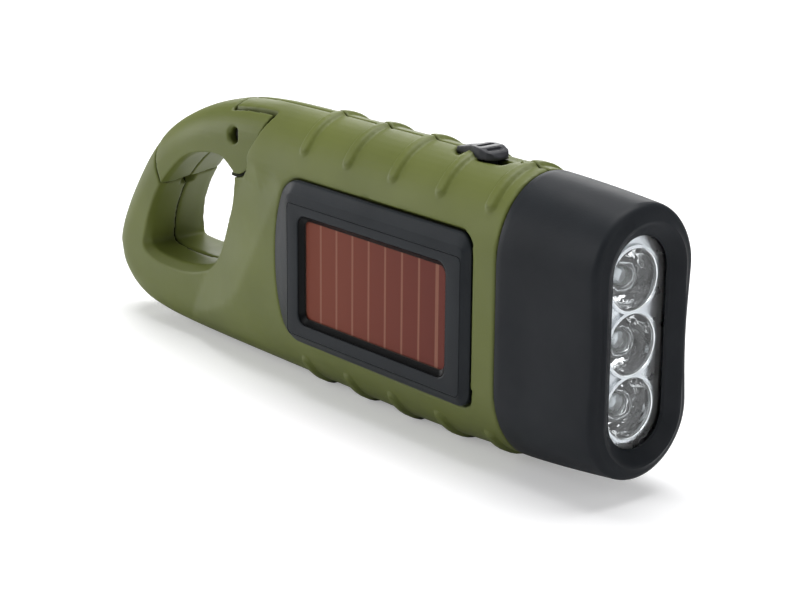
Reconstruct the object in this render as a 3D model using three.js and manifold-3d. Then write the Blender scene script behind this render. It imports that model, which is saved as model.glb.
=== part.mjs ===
// Hand crank torch with a carabiner end, a solar cell on one side and a folding crank on the other.
// Millimetres. X runs from the carabiner to the lens, Y from the solar side to the crank side, Z up.
import * as THREE from 'three';
import { mergeVertices } from 'three/addons/utils/BufferGeometryUtils.js';
import Module from 'manifold-3d';

const wasm = await Module();
wasm.setup();

// Driving sizes of the casing
const rearReach = 68.5;
const frontReach = 69.9;
const headLength = 21.5;
const topRise = 24.2;
const bellyDrop = 23.1;
const frontHalf = 10.8;
const rearHalf = 9.9;
const loopHalf = 6.9;
const sectionRound = 13.5;
const loopRound = 6.5;
const wall = 1.8;
const gap = 0.3;
const halfGap = gap / 2;
const far = 2 * frontReach;
const weld = 0.00001;

// Outline of the body: along as shares of the rear reach, then shares of the top rise or of the belly drop
const topOutlineShares = [[-1, -0.384], [-0.985, -0.231], [-0.945, -0.017], [-0.892, 0.202], [-0.83, 0.417],
  [-0.75, 0.616], [-0.645, 0.773], [-0.535, 0.884], [-0.42, 0.957], [-0.312, 0.988], [-0.18, 0.998]];
const bottomOutlineShares = [[-0.996, -0.489], [-0.978, -0.658], [-0.93, -0.814], [-0.863, -0.918],
  [-0.77, -0.965], [-0.66, -0.984], [-0.5, -0.993], [-0.25, -0.998], [0, -1], [0.4, -1]];
const neckBottomShare = 0.957;
const loopBlendShares = [-0.75, -0.35];
const neckX = frontReach - headLength;
const neckLength = 6.5;
const neckWall = 1.5;
const neckLap = 2.4;

// Grid of the body surface
const outlineSamples = 600;
const rearStations = 18;
const frontStations = 4;
const rearStationShare = 0.52;
const roundSteps = 4;
const flankSteps = 4;
const tipCrowdShare = 1.25;
const curveSteps = 3;
const padSides = 24;

// Scoop that thins the body towards the carabiner
const scoopSlope = 0.24;
const scoopTilt = THREE.MathUtils.degToRad(30);
const scoopEdge = 13.3;
const scoopTop = 15.5;
const scoopTopTurn = 16;
const scoopRound = 4.6;

// Carabiner hole on the near face, as shares of the rear reach and of the top rise, and how it narrows inside
const holeShares = [[-0.724, 0.198], [-0.69, 0.29], [-0.657, 0.368], [-0.62, 0.44], [-0.58, 0.492],
  [-0.521, 0.529], [-0.472, 0.545], [-0.437, 0.537], [-0.409, 0.494], [-0.387, 0.45], [-0.379, 0.39],
  [-0.384, 0.281], [-0.397, 0.124], [-0.419, -0.066], [-0.437, -0.186], [-0.464, -0.288], [-0.499, -0.365],
  [-0.547, -0.421], [-0.616, -0.463], [-0.695, -0.475], [-0.765, -0.459], [-0.809, -0.413],
  [-0.823, -0.358], [-0.81, -0.227], [-0.79, -0.087], [-0.758, 0.074]];
const holeDepthShares = [-1.6, -1, -0.78, 0.78, 1, 1.6];
const holeEases = [0, 0, 0.2, -0.9, -1.3, -1.3];
const holeSills = [0, 0, 1.4, 3.3, 3.9, 3.9];
const loopWall = 2;

// Carabiner gate and its pivot; places are shares of the reach and of the rise or the drop
const pivotShares = [-0.3854, 0.719];
const noseShares = [-0.7558, 0.35];
const tailTopShares = [-0.2394, 0.975];
const tailRadiusShare = 0.2893;
const tailArcEnd = THREE.MathUtils.degToRad(-96);
const noseArcStart = THREE.MathUtils.degToRad(216);
const noseArcEnd = THREE.MathUtils.degToRad(168);
const arcSteps = 8;
const gateSwing = THREE.MathUtils.degToRad(25);
const pinRadius = 1.2;
const pinHalf = 5.4;
const tongueHalf = 3.9;
const tongueBoss = 3;
const tongueRoot = 14;
const barbHalf = 1.4;
const barbReach = 1.6;
const barbLap = 1.5;
const barbTop = THREE.MathUtils.degToRad(197);
const barbBottom = THREE.MathUtils.degToRad(203);
const barbSlack = THREE.MathUtils.degToRad(1.2);
const notchBottom = THREE.MathUtils.degToRad(222);
const springToPivot = 3.5;
const springRadius = 1.1;
const springWire = 0.28;
const springTurns = 5;
const springTurnSteps = 8;
const springSides = 2;
const springRise = 3;
const gateScrewShares = [-0.6423, 0.5992];

// Ribs over the body
const ribCount = 5;
const ribPitch = 12;
const ribFirstX = -3.7;
const ribWidth = 2.8;
const ribProud = 0.6;
const ribTopEnd = 17.9;
const ribBottomEnd = 17.2;
const footTrim = 0.3;
const footZ = -(bellyDrop + ribProud - footTrim);

// Solar side
const bezelLength = 48.1;
const bezelHeight = 28.4;
const bezelToNeck = 6.2;
const bezelFace = 11.3;
const bezelFrontEdgeDrop = 0.7;
const bezelRearEdgeDrop = 1.1;
const bezelBulge = 3.6;
const bezelBulgeCurveShare = 2.4;
const bulgeSteps = 6;
const bezelThickness = 1.9;
const bezelRebate = 0.9;
const bezelCreases = [1.2, 1.35, 2.1, 1.35];
const bezelRound = 3;
const bezelRearRim = 4.4;
const bezelFrontRim = 5.2;
const bezelTopRim = 5.45;
const bezelBottomRim = 3.8;
const windowRound = 1.9;
const windowDraft = 0.6;
const cellMargin = 1.2;
const cellThickness = 1;
const cellLedge = 1.3;
const cellLedgeThick = 2.1;
const cornerSteps = 4;

// Head, lens and lamps
const headProud = 0.25;
const headBottomRise = 2.1;
const headTopDrop = 1.3;
const headTopCurveShare = 1.5;
const headBottomCurveShare = 1.3;
const headFrontRound = 11;
const headWall = 2;
const headWaist = 0.6;
const headWaistReach = 14;
const headWaistZ = 0.8;
const headStationShares = [0, 0.25, 0.5, 0.75, 0.9];
const rimRound = 1.3;
const rimSteps = 3;
const headArcSteps = 5;
const headFlankSteps = 3;
const faceBand = 3.2;
const faceFunnel = 1.4;
const faceLip = 0.4;
const lensHalf = 5.6;
const lensTop = 17.9;
const lensBottom = -15.4;
const funnelLean = 0.3;
const lensThickness = 0.8;
const cupCount = 3;
const cupPitch = 10.1;
const cupCentre = 0.8;
const cupRadius = 4.75;
const cupWall = 0.7;
const cupFloorRadius = 2.9;
const cupSteps = 3;
const cupSides = 16;
const plateThickness = 1.1;
const ledRadius = 2.5;
const ledFlange = 2.9;
const ledFlangeHeight = 1;
const ledLength = 7;
const ledBoardThickness = 1.2;
const ledBoardGrow = 1.6;
const ledSides = 10;

// Switch on the top
const switchToNeck = 15;
const recessToNeck = 14.2;
const recessLength = 13.4;
const recessWidth = 6.6;
const recessRound = 3;
const recessDepth = 0.9;
const switchTravel = 2;
const stemLength = 6.4;
const stemWidth = 2.2;
const knobProud = 1.3;
const sliderLength = 9.5;
const sliderHalf = 2.6;
const sliderShares = [[-1, 0], [1, 0], [1, 0.25], [0.86, 0.62], [0.45, 0.95], [0.1, 1], [-0.15, 0.95],
  [-0.5, 0.7], [-1, 0.45]];
const sliderPlanShares = [[-1, 0.48], [-0.92, 0.6], [-0.3, 0.72], [0.15, 0.95], [0.45, 1], [0.75, 0.88],
  [0.94, 0.6], [1, 0.25]];
const gripCount = 2;
const gripPitch = 2.3;
const gripStart = 0.7;
const gripWidth = 0.7;
const gripDepth = 0.6;
const gripHalf = 1.6;
const retainerLength = 8.8;
const retainerHalf = 2.2;
const retainerDrop = 2.5;
const retainerHeight = 1.2;
const switchBodyLength = 8.6;
const switchBodyHalf = 2.2;
const switchBodyDrop = 2.5;
const switchBodyHeight = 3.6;
const leverHalf = 0.8;
const leverSink = 0.9;
const bracketThickness = 1.2;
const bracketHalf = 4;

// Crank, its shaft and the folding knob
const crankToNeck = 18.4;
const crankZ = 0.5;
const crankLength = 40;
const padRadius = 9.4;
const padTop = 10.9;
const armBottom = 11.4;
const hubRadius = 8.6;
const hubRise = 1.2;
const hubStep = 2.2;
const armThickness = 3.6;
const armHalf = 7.1;
const earRadius = 3.2;
const bridgeThickness = 1.2;
const forkEnd = 13.5;
const knobRadius = 4.4;
const knobWaist = 3.9;
const knobLength = 14.5;
const knobStart = 5;
const knobRound = 0.8;
const knobRoundSteps = 2;
const knobSides = 16;
const spindleRadius = 1.5;
const lugHalf = 3.6;
const lugRadius = 2.8;
const foldPinRadius = 1;
const pinCover = 0.8;
const knobScrewRadius = 0.6;
const knobScrewLength = 5;
const shaftRadius = 2.6;
const shaftTipRadius = 1.4;
const hexSides = 6;
const bushRadius = 4.2;
const bushFlangeRadius = 5.4;
const bushFlangeHeight = 0.8;
const crankScrewHead = 2.8;
const crankScrewHeadHeight = 1.3;
const crankScrewRadius = 1;
const crankScrewLength = 6;
const knobScrewHead = 2.7;

// Gear train, from the crank gear to the rotor
const toothModule = 0.6;
const toothPressure = THREE.MathUtils.degToRad(20);
const toothAddendumShare = 0.85;
const toothDedendumShare = 1.2;
const toothBacklash = 0.2;
const meshSlack = 0.06;
const crankTeeth = 40;
const pinionTeeth = 10;
const firstWheelTeeth = 36;
const secondWheelTeeth = 32;
const firstAngle = THREE.MathUtils.degToRad(150);
const secondAngle = THREE.MathUtils.degToRad(220);
const rotorAngle = THREE.MathUtils.degToRad(158);
const crankGearY = [5.9, 8.1];
const firstWheelY = [3.3, 5.3];
const secondWheelY = [0.7, 2.7];
const gearFloorY = 0.2;
const pressGap = 0.1;
const hubRadiusSmall = 1.7;
const axleRadius = 0.75;
const axleSides = 10;
const axleTopY = 9.3;
const boreSides = 12;

// Generator under the gear plate; the plate's outline and screws are placed from the crank's line
const gearPlateY = [-1.3, -0.1];
const gearPlateEdge = [[-46.2, -6.9], [-46.2, 10.5], [-39.4, 19.3], [-32.6, 19.3], [-28, 13.1], [5.6, 12.9],
  [5.6, -11.5], [6, -18.5], [0, -18.5], [-2.5, -12.5], [-28, -8.9], [-36, -8.9]];
const gearScrewPlaces = [[3, -15.7], [-36, 16.5]];
const gearScrewLength = 6;
const rotorRadius = 6.6;
const rotorY = [-5.2, -2];
const statorRadius = 10.6;
const statorWall = 0.7;
const statorY = [-6.3, -1.6];
const coilWall = 2;
const coilY = [-5.1, -2.2];
const rotorTopY = 5.7;
const rotorBossY = 3;
const statorSides = 20;

// Circuit board, batteries and screws
const boardLength = 34;
const boardHeight = 30;
const boardThickness = 1;
const boardAhead = 8.35;
const boardBackY = -6.2;
const pegSpan = [14.6, 12.6];
const pegRadius = 0.9;
const pegLength = 1.8;
const postRadius = 2;
const chips = [[-8.5, 7, 7, 5], [4.5, 4, 5, 8], [9.5, -8, 6, 4], [-5.5, -8, 4, 6]];
const chipHeight = 1.4;
const batteryRadius = 5.5;
const batteryLength = 5.1;
const batteryCount = 3;
const batteryX = -16.2;
const batteryZ = -15;
const batterySides = 24;
const cradleWidth = 2;
const contactThickness = 0.5;
const contactHalf = 3.6;
const screwRadius = 1;
const screwHead = 2;
const screwHeadHeight = 1.4;
const screwSeatY = 4.2;
const screwTipY = -4.8;
const screwBoss = 2.6;
const screwHeadBoss = 3.4;
const screwSides = 12;
const screwCross = 1.3;
const screwCrossWidth = 0.5;
const screwCrossDepth = 0.7;
const caseScrewShares = [[-0.8832, -0.6061], [-0.3577, -0.7489], [0.8388, -0.7792], [0.0723, 0.7521]];

// Materials
const plastic = (color, roughness = 0.55) => ({ color, roughness, metalness: 0 });
const metal = (color, roughness = 0.3) => ({ color, roughness, metalness: 1 });
const olive = plastic(0x6f7a4c);
const charcoal = plastic(0x33373b, 0.5);
const cellRed = plastic(0x78402f, 0.3);
const lensClear = { color: 0xdfe8ec, roughness: 0.05, metalness: 0, transparent: true, opacity: 0.35 };
const chrome = metal(0xd8dade, 0.1);
const steel = metal(0xa5a7a9);
const brass = metal(0xb8934a, 0.35);
const copper = metal(0xa85a32, 0.4);
const ivory = plastic(0xdedbc9, 0.6);
const boardGreen = plastic(0x1f5a38, 0.5);
const black = plastic(0x1c1d1f, 0.6);
const magnetGrey = { color: 0x4a4b50, roughness: 0.6, metalness: 0.4 };
const ledClear = plastic(0xf2f3ee, 0.1);

// Places and levels that follow from the sizes above
const along = ([x, z], reach, angle) => [x + reach * Math.cos(angle), z + reach * Math.sin(angle)];
const placed = ([a, u]) => [a * (a < 0 ? rearReach : neckX), u * (u < 0 ? bellyDrop : topRise)];
const pivot = placed(pivotShares);
const [pivotX, pivotZ] = pivot;
const [noseX, noseZ] = placed(noseShares);
const [tailTopX, tailTopZ] = placed(tailTopShares);
const noseRadius = Math.hypot(noseX - pivotX, noseZ - pivotZ);
const tailRadius = tailRadiusShare * topRise;
const springX = pivotX + springToPivot;
const springTopZ = pivotZ + springRise;
const gateScrew = placed(gateScrewShares);
const caseScrews = caseScrewShares.map(placed);
const bezelX = neckX - bezelToNeck - bezelLength / 2;
const windowLength = bezelLength - bezelRearRim - bezelFrontRim;
const windowHeight = bezelHeight - bezelTopRim - bezelBottomRim;
const windowX = bezelX + (bezelRearRim - bezelFrontRim) / 2;
const windowZ = (bezelBottomRim - bezelTopRim) / 2;
const boardX = bezelX + boardAhead;
const switchX = neckX - switchToNeck;
const slotX = switchX + switchTravel / 2;
const knobTop = topRise + knobProud;
const retainerTop = topRise - retainerDrop;
const switchBodyTop = retainerTop - switchBodyDrop;
const crankX = neckX - crankToNeck;
const meshReach = (a, b) => (toothModule * (a + b)) / 2 + meshSlack;
const crankAt = [crankX, crankZ];
const fromCrank = ([x, z]) => [crankX + x, crankZ + z];
const gearScrews = gearScrewPlaces.map(fromCrank);
const firstAt = along(crankAt, meshReach(crankTeeth, pinionTeeth), firstAngle);
const secondAt = along(firstAt, meshReach(firstWheelTeeth, pinionTeeth), secondAngle);
const rotorAt = along(secondAt, meshReach(secondWheelTeeth, pinionTeeth), rotorAngle);
const bezelBackY = bezelThickness - bezelFace;
const cellFrontY = bezelRebate - bezelFace + gap;
const cellY = [cellFrontY, cellFrontY + cellThickness];
const frameY = [bezelBackY + gap, cellY[1] + gap + cellLedgeThick];
const cellHalf = [windowLength / 2 + cellMargin, windowHeight / 2 + cellMargin];
const boardY = [boardBackY, boardBackY + boardThickness];
const bushTopY = padTop + gap / 2;
const bushBottomY = crankGearY[1] + gap;
const crankSeatY = armBottom + armThickness + hubRise - crankScrewHeadHeight - gap;
const shaftEndY = crankSeatY - gap;
const hubTopY = armBottom + armThickness + hubRise;
const foldAt = [crankX - crankLength, armBottom + knobRadius];
const leverTop = retainerTop - gap - halfGap;
const retainerRun = (retainerLength + switchTravel) / 2 + gap;
const lensFrontX = frontReach - faceFunnel - faceLip - gap;
const lensX = [lensFrontX - lensThickness, lensFrontX];
const plateX = [lensX[0] - gap - plateThickness, lensX[0] - gap];
const ledBoardX = [neckX + neckLength + gap, neckX + neckLength + gap + ledBoardThickness];
const ledX = ledBoardX[1] + gap;
const cupRearX = ledX + ledFlangeHeight + gap;

// Solids: from a closed geometry to manifold form, booleans there, and back
function solidOf(geometry) {
  const bare = geometry.clone();
  bare.deleteAttribute('normal');
  bare.deleteAttribute('uv');
  const merged = mergeVertices(bare, weld);
  const index = merged.index.array;
  const kept = [];
  for (let i = 0; i < index.length; i += 3) {
    const [a, b, c] = [index[i], index[i + 1], index[i + 2]];
    if (a !== b && b !== c && c !== a) kept.push(a, b, c);
  }
  const mesh = new wasm.Mesh({ numProp: 3, vertProperties: merged.attributes.position.array,
    triVerts: new Uint32Array(kept) });
  return new wasm.Manifold(mesh);
}

function geometryOf(solid) {
  const mesh = solid.getMesh();
  const geometry = new THREE.BufferGeometry();
  geometry.setAttribute('position', new THREE.BufferAttribute(mesh.vertProperties, 3));
  geometry.setIndex(new THREE.BufferAttribute(mesh.triVerts, 1));
  geometry.computeVertexNormals();
  return geometry;
}

function joined(solids) {
  return solids.reduce((whole, piece) => whole.add(piece));
}

function cutFrom(solid, cuts) {
  return solid.subtract(joined(cuts));
}

// Primitive solids
function boxSolid(x0, x1, y0, y1, z0, z1) {
  const box = new THREE.BoxGeometry(x1 - x0, y1 - y0, z1 - z0);
  box.translate((x0 + x1) / 2, (y0 + y1) / 2, (z0 + z1) / 2);
  return solidOf(box);
}

function rodY(radius, [x, z], [y0, y1], sides = axleSides) {
  const rod = new THREE.CylinderGeometry(radius, radius, y1 - y0, sides);
  rod.translate(x, (y0 + y1) / 2, z);
  return solidOf(rod);
}

function rodX(radius, [y, z], [x0, x1], sides = axleSides) {
  const rod = new THREE.CylinderGeometry(radius, radius, x1 - x0, sides);
  rod.rotateZ(Math.PI / 2);
  rod.translate((x0 + x1) / 2, y, z);
  return solidOf(rod);
}

function rodZ(radius, [x, y], [z0, z1], sides = axleSides) {
  const rod = new THREE.CylinderGeometry(radius, radius, z1 - z0, sides);
  rod.rotateX(Math.PI / 2);
  rod.translate(x, y, (z0 + z1) / 2);
  return solidOf(rod);
}

// A shape drawn in X and Z, extruded along Y
function slabY(shape, [y0, y1]) {
  const slab = new THREE.ExtrudeGeometry(shape,
    { depth: y1 - y0, bevelEnabled: false, curveSegments: curveSteps });
  slab.rotateX(Math.PI / 2);
  slab.translate(0, y1, 0);
  return solidOf(slab);
}

// A shape drawn in X and Y, extruded along Z
function slabZ(shape, [z0, z1]) {
  const slab = new THREE.ExtrudeGeometry(shape,
    { depth: z1 - z0, bevelEnabled: false, curveSegments: curveSteps });
  slab.translate(0, 0, z0);
  return solidOf(slab);
}

// A closed profile of radius and height, turned about the line along X through y and z
function turnedX(profile, [y, z], x0, sides) {
  const turned = new THREE.LatheGeometry(profile.map(([r, h]) => new THREE.Vector2(r, h)), sides);
  turned.rotateZ(-Math.PI / 2);
  turned.translate(x0, y, z);
  return solidOf(turned);
}

function roundedRect(x, z, length, height, radius) {
  const [a, b] = [length / 2 - radius, height / 2 - radius];
  const corners = [[a, b, 0], [-a, b, 1], [-a, -b, 2], [a, -b, 3]];
  return polygon(corners.flatMap(([dx, dz, turn]) =>
    arcPoints([x + dx, z + dz], radius, (turn * Math.PI) / 2, ((turn + 1) * Math.PI) / 2, cornerSteps)));
}

function polygon(points) {
  return new THREE.Shape(points.map(([x, z]) => new THREE.Vector2(x, z)));
}

function arcPoints(centre, radius, from, to, steps = arcSteps) {
  return Array.from({ length: steps + 1 },
    (_, i) => along(centre, radius, from + ((to - from) * i) / steps));
}

// Rings of equal count joined into one closed skin, capped at both ends or closed on itself.
// Each ring runs anticlockwise as seen from where the rings are going.
function loft(rings, closed = false) {
  const count = rings[0].length;
  const points = rings.flat();
  const index = [];
  const spans = closed ? rings.length : rings.length - 1;
  for (let i = 0; i < spans; i += 1) {
    const a = i * count;
    const b = ((i + 1) % rings.length) * count;
    for (let j = 0; j < count; j += 1) {
      const k = (j + 1) % count;
      index.push(a + j, a + k, b + k, a + j, b + k, b + j);
    }
  }
  if (!closed) {
    for (const [ring, first] of [[0, true], [rings.length - 1, false]]) {
      const centre = points.length;
      const sum = new THREE.Vector3();
      rings[ring].forEach((p) => sum.add(p));
      points.push(sum.divideScalar(count));
      for (let j = 0; j < count; j += 1) {
        const a = ring * count + j;
        const b = ring * count + ((j + 1) % count);
        index.push(centre, first ? b : a, first ? a : b);
      }
    }
  }
  const geometry = new THREE.BufferGeometry().setFromPoints(points);
  geometry.setIndex(index);
  return solidOf(geometry);
}

// Quarter of an ellipse: 0 at the edge, 1 where it has turned flat
function rounding(share) {
  return share >= 1 ? 1 : Math.sqrt(1 - (1 - share) ** 2);
}

// Half thickness of the body at a place, and the depth of the scoop there
function sideAt(x) {
  return THREE.MathUtils.mapLinear(x, -scoopEdge, neckX, rearHalf, frontHalf);
}

function scoopAt(x, z) {
  const across = x * Math.cos(scoopTilt) - z * Math.sin(scoopTilt);
  const inLine = -scoopEdge - across;
  const inTop = scoopTop - z + Math.max(0, -scoopTopTurn - x);
  let depth = Math.min(inLine, inTop);
  if (inLine < scoopRound || inTop < scoopRound) {
    depth = scoopRound - Math.hypot(Math.max(scoopRound - inLine, 0), Math.max(scoopRound - inTop, 0));
  }
  return Math.min(scoopSlope * Math.max(depth, 0), rearHalf - loopHalf);
}

// Outline of the body, from the front over the top to the tip and back along the belly
function bodyOutline() {
  const neckBottom = -neckBottomShare * bellyDrop;
  const top = topOutlineShares.map(([a, u]) => [a * rearReach, u * topRise]);
  const bottom = bottomOutlineShares.map(([a, d]) => [a * rearReach, d * bellyDrop]);
  const points = [[frontReach, topRise], ...top.reverse(), ...bottom, [neckX, neckBottom],
    [frontReach, neckBottom]];
  return new THREE.CatmullRomCurve3(points.map(([x, z]) => new THREE.Vector3(x, z, 0)))
    .getPoints(outlineSamples).map((p) => new THREE.Vector2(p.x, p.y));
}

// The point a share of the way along a path, and the way the path runs there
function pickOn(path, share) {
  const lengths = [0];
  for (let i = 1; i < path.length; i += 1) lengths.push(lengths[i - 1] + path[i].distanceTo(path[i - 1]));
  const wanted = share * lengths[path.length - 1];
  let i = 1;
  while (i < path.length - 1 && lengths[i] < wanted) i += 1;
  const t = (wanted - lengths[i - 1]) / (lengths[i] - lengths[i - 1]);
  const along = path[Math.min(i + 1, path.length - 1)].clone().sub(path[Math.max(i - 2, 0)]).normalize();
  return { point: path[i - 1].clone().lerp(path[i], t), along };
}

// Points and inward normals on the top and bottom outlines, in step from the tip to the front
function outlineStations() {
  const samples = bodyOutline();
  const tip = samples.reduce((best, p, i) => (p.x < samples[best].x ? i : best), 0);
  const topPath = samples.slice(0, tip + 1).reverse();
  const bottomPath = samples.slice(tip);
  const total = rearStations + frontStations;
  return Array.from({ length: total + 1 }, (_, i) => {
    const rear = (Math.min(i, rearStations) / rearStations) ** tipCrowdShare;
    const front = Math.max(i - rearStations, 0) / frontStations;
    const share = rearStationShare * rear + (1 - rearStationShare) * front;
    const top = pickOn(topPath, share);
    const bottom = pickOn(bottomPath, share);
    const ahead = new THREE.Vector2(1, 0);
    return {
      top: top.point,
      bottom: bottom.point,
      topIn: i === 0 ? ahead : new THREE.Vector2(top.along.y, -top.along.x),
      bottomIn: i === 0 ? ahead : new THREE.Vector2(-bottom.along.y, bottom.along.x),
    };
  });
}

const stations = outlineStations();

// The body as a rounded pillow, set inwards by inset; thin makes it as thin as the loop throughout
function pillow(inset, thin = false) {
  const heightAt = (x, z, depth) => {
    const loop = (loopHalf - inset) * rounding(depth / (loopRound - inset));
    if (thin) return loop;
    const body = (sideAt(x) - inset) * rounding(depth / (sectionRound - inset));
    const scoop = scoopAt(x, z);
    return scoop > 0 ? Math.min(body, rearHalf - loopHalf - scoop + loop) : body;
  };
  const [blendFrom, blendTo] = loopBlendShares;
  return loft(stations.map(({ top, bottom, topIn, bottomIn }) => {
    const blend = THREE.MathUtils.smoothstep(top.x, blendFrom * rearReach, blendTo * rearReach);
    const reach = THREE.MathUtils.lerp(loopRound, sectionRound, blend) - inset;
    const side = [];
    const put = (edge, inward, depth) => {
      const x = edge.x + inward.x * (depth + inset);
      const z = edge.y + inward.y * (depth + inset);
      side.push(new THREE.Vector3(x, -heightAt(x, z, depth), z));
    };
    const depths = Array.from({ length: roundSteps + 1 },
      (_, j) => reach * (1 - Math.cos((j / roundSteps) * Math.PI / 2)));
    depths.forEach((depth) => put(top, topIn, depth));
    const topFlank = top.clone().addScaledVector(topIn, reach + inset);
    const bottomFlank = bottom.clone().addScaledVector(bottomIn, reach + inset);
    for (let j = 1; j < flankSteps; j += 1) {
      const p = topFlank.clone().lerp(bottomFlank, j / flankSteps);
      side.push(new THREE.Vector3(p.x, -heightAt(p.x, p.y, sectionRound), p.y));
    }
    depths.reverse().forEach((depth) => put(bottom, bottomIn, depth));
    const other = side.slice(1, -1).reverse().map((p) => new THREE.Vector3(p.x, -p.y, p.z));
    return [...side, ...other];
  }));
}

// The carabiner hole: eased in or out along its depth, with a sill that rises; grow widens it
function holeSolid(grow = 0) {
  const curve = new THREE.CatmullRomCurve3(
    holeShares.map(([a, u]) => new THREE.Vector3(a * rearReach, 0, u * topRise)), true);
  const count = holeShares.length;
  const bottom = Math.max(...holeShares.map(([, u]) => -u)) * topRise;
  return loft(holeDepthShares.map((depthShare, i) => {
    return Array.from({ length: count }, (_, j) => {
      const point = curve.getPoint(j / count);
      const along = curve.getTangent(j / count);
      const inset = holeEases[i] + holeSills[i] * (Math.max(0, -point.z) / bottom) ** 2 - grow;
      return new THREE.Vector3(point.x + inset * along.z, depthShare * loopHalf, point.z - inset * along.x);
    });
  }));
}

// Outline of the gate's space about its pivot; grow widens it at the tail and the nose
function gatePolygon(grow) {
  const radius = tailRadius + grow;
  const [topX, topZ] = [tailTopX - pivotX, tailTopZ - pivotZ];
  const touch = Math.atan2(topZ, topX) - Math.acos(tailRadius / Math.hypot(topX, topZ));
  const outer = along(along(pivot, radius, touch), 2 * topRise, touch + Math.PI / 2);
  const nose = arcPoints(pivot, noseRadius + grow, noseArcStart, noseArcEnd);
  return polygon([
    outer,
    ...arcPoints(pivot, radius, touch, tailArcEnd),
    ...nose,
    [nose[arcSteps][0], outer[1]],
  ]);
}

// The tongue of the casing between the cheeks of the gate; it carries the pivot
function tonguePolygon(grow) {
  const radius = tongueBoss + grow;
  const slope = grow > 0 ? 0 : gateSwing;
  const arc = arcPoints(pivot, radius, Math.PI, 1.5 * Math.PI + slope);
  const last = arc[arcSteps];
  const end = [last[0] + tongueRoot * Math.cos(slope), last[1] + tongueRoot * Math.sin(slope)];
  return polygon([[pivotX - radius, topRise + topRise], ...arc, end, [end[0], topRise + topRise]]);
}

function sector(centre, [r0, r1], [a0, a1]) {
  return polygon([...arcPoints(centre, r0, a0, a1), ...arcPoints(centre, r1, a1, a0)]);
}

// Stiffening ribs that wrap over the top and under the belly
function ribSolids() {
  const band = (x, z0, z1) => {
    const half = ribWidth / 2;
    const shape = new THREE.Shape();
    shape.absarc(x, z0 + half, half, Math.PI, 2 * Math.PI);
    shape.lineTo(x + half, z1);
    shape.lineTo(x - half, z1);
    shape.closePath();
    return shape;
  };
  const flip = (shape) => new THREE.Shape(shape.getPoints(curveSteps)
    .map((p) => new THREE.Vector2(p.x, -p.y)).reverse());
  const bands = [];
  for (let i = 0; i < ribCount; i += 1) {
    const x = ribFirstX + i * ribPitch;
    bands.push(slabY(band(x, ribTopEnd, 2 * topRise), [-far, far]));
    bands.push(slabY(flip(band(x, ribBottomEnd, 2 * bellyDrop)), [-far, far]));
  }
  return pillow(-ribProud).intersect(joined(bands));
}

// The casing before it is split: skin, neck, ribs, bosses and the gate's tongue
function casingSolid() {
  const front = neckX - gap;
  const inNeck = headWall + gap + halfGap;
  const before = (x) => boxSolid(-far, x, -far, far, -far, far);
  const outer = pillow(0);
  let body = outer.intersect(before(front)).add(pillow(inNeck).intersect(before(neckX + neckLength)));
  body = body.add(ribSolids());
  const keepOut = [holeSolid(loopWall), slabY(gatePolygon(gap + wall), [-far, far])];
  const cavity = pillow(wall).intersect(before(front - neckLap)).add(pillow(inNeck + neckWall));
  body = body.subtract(cutFrom(cavity, keepOut));
  const inside = outer.intersect(before(front));
  body = body.add(joined([...bosses(), switchBracket()]).intersect(inside));
  body = body.add(rodY(padRadius, crankAt, [padTop - wall, padTop], padSides));
  body = cutFrom(body, [holeSolid(), slabY(gatePolygon(gap), [-far, far])]);
  const tongue = slabY(tonguePolygon(0), [-tongueHalf, tongueHalf]).intersect(pillow(0, true));
  body = body.add(tongue.subtract(holeSolid()));
  return cutFrom(body, casingCuts());
}

// Screw bosses, cradle for the batteries, posts and bearings inside the casing
function bosses() {
  const half = [gap / 2, far];
  const list = caseScrews.flatMap((at) => [
    rodY(screwHeadBoss, at, half), rodY(screwBoss, at, [-far, 0])]);
  gearScrews.forEach((at) => list.push(rodY(screwBoss - gap, at, [gearFloorY, far])));
  list.push(rodY(screwBoss, rotorAt, [rotorBossY, far]));
  return [...list, ...cradles(), cellFrame()];
}

function cradles() {
  const contacts = contactPlaces();
  const stops = [contacts[0] - gap - bracketThickness, contacts[1] + contactThickness + gap].map((x) =>
    boxSolid(x, x + bracketThickness, -far, far, -far, batteryZ + contactHalf));
  const saddles = [0, batteryCount - 1].map((i) => {
    const x = batteryX + (i + 1 / 2) * (batteryLength + gap);
    const saddle = boxSolid(x - cradleWidth / 2, x + cradleWidth / 2, -far, far, -far, batteryZ);
    return saddle.subtract(rodX(batteryRadius + gap, [0, batteryZ], [-far, far], batterySides));
  });
  return [...stops, ...saddles];
}

function contactPlaces() {
  return [batteryX - gap - contactThickness, batteryX + batteryCount * (batteryLength + gap)];
}

// Box under the top wall that holds the switch
function switchBracket() {
  const reach = switchBodyLength / 2 + gap;
  const floor = switchBodyTop - switchBodyHeight - gap;
  const around = boxSolid(slotX - reach - bracketThickness, slotX + reach + bracketThickness,
    -bracketHalf, bracketHalf, floor - bracketThickness, far);
  return around.subtract(boxSolid(slotX - reach, slotX + reach, -far, far, floor, far));
}

// Frame behind the bezel that the solar cell and the board sit on
function cellFrame() {
  const frame = slabY(roundedRect(bezelX, 0, bezelLength, bezelHeight, bezelRound), frameY);
  const posts = pegPlaces().flatMap((at) => [
    rodY(postRadius, at, [frameY[1] - gap, boardY[0] - gap]),
    rodY(pegRadius, at, [frameY[1] - gap, boardY[1] + pegLength])]);
  return joined([frame, ...posts]);
}

function pegPlaces() {
  const [px, pz] = pegSpan;
  return [[-px, -pz], [px, -pz], [px, pz], [-px, pz]].map(([x, z]) => [boardX + x, z]);
}

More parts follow.
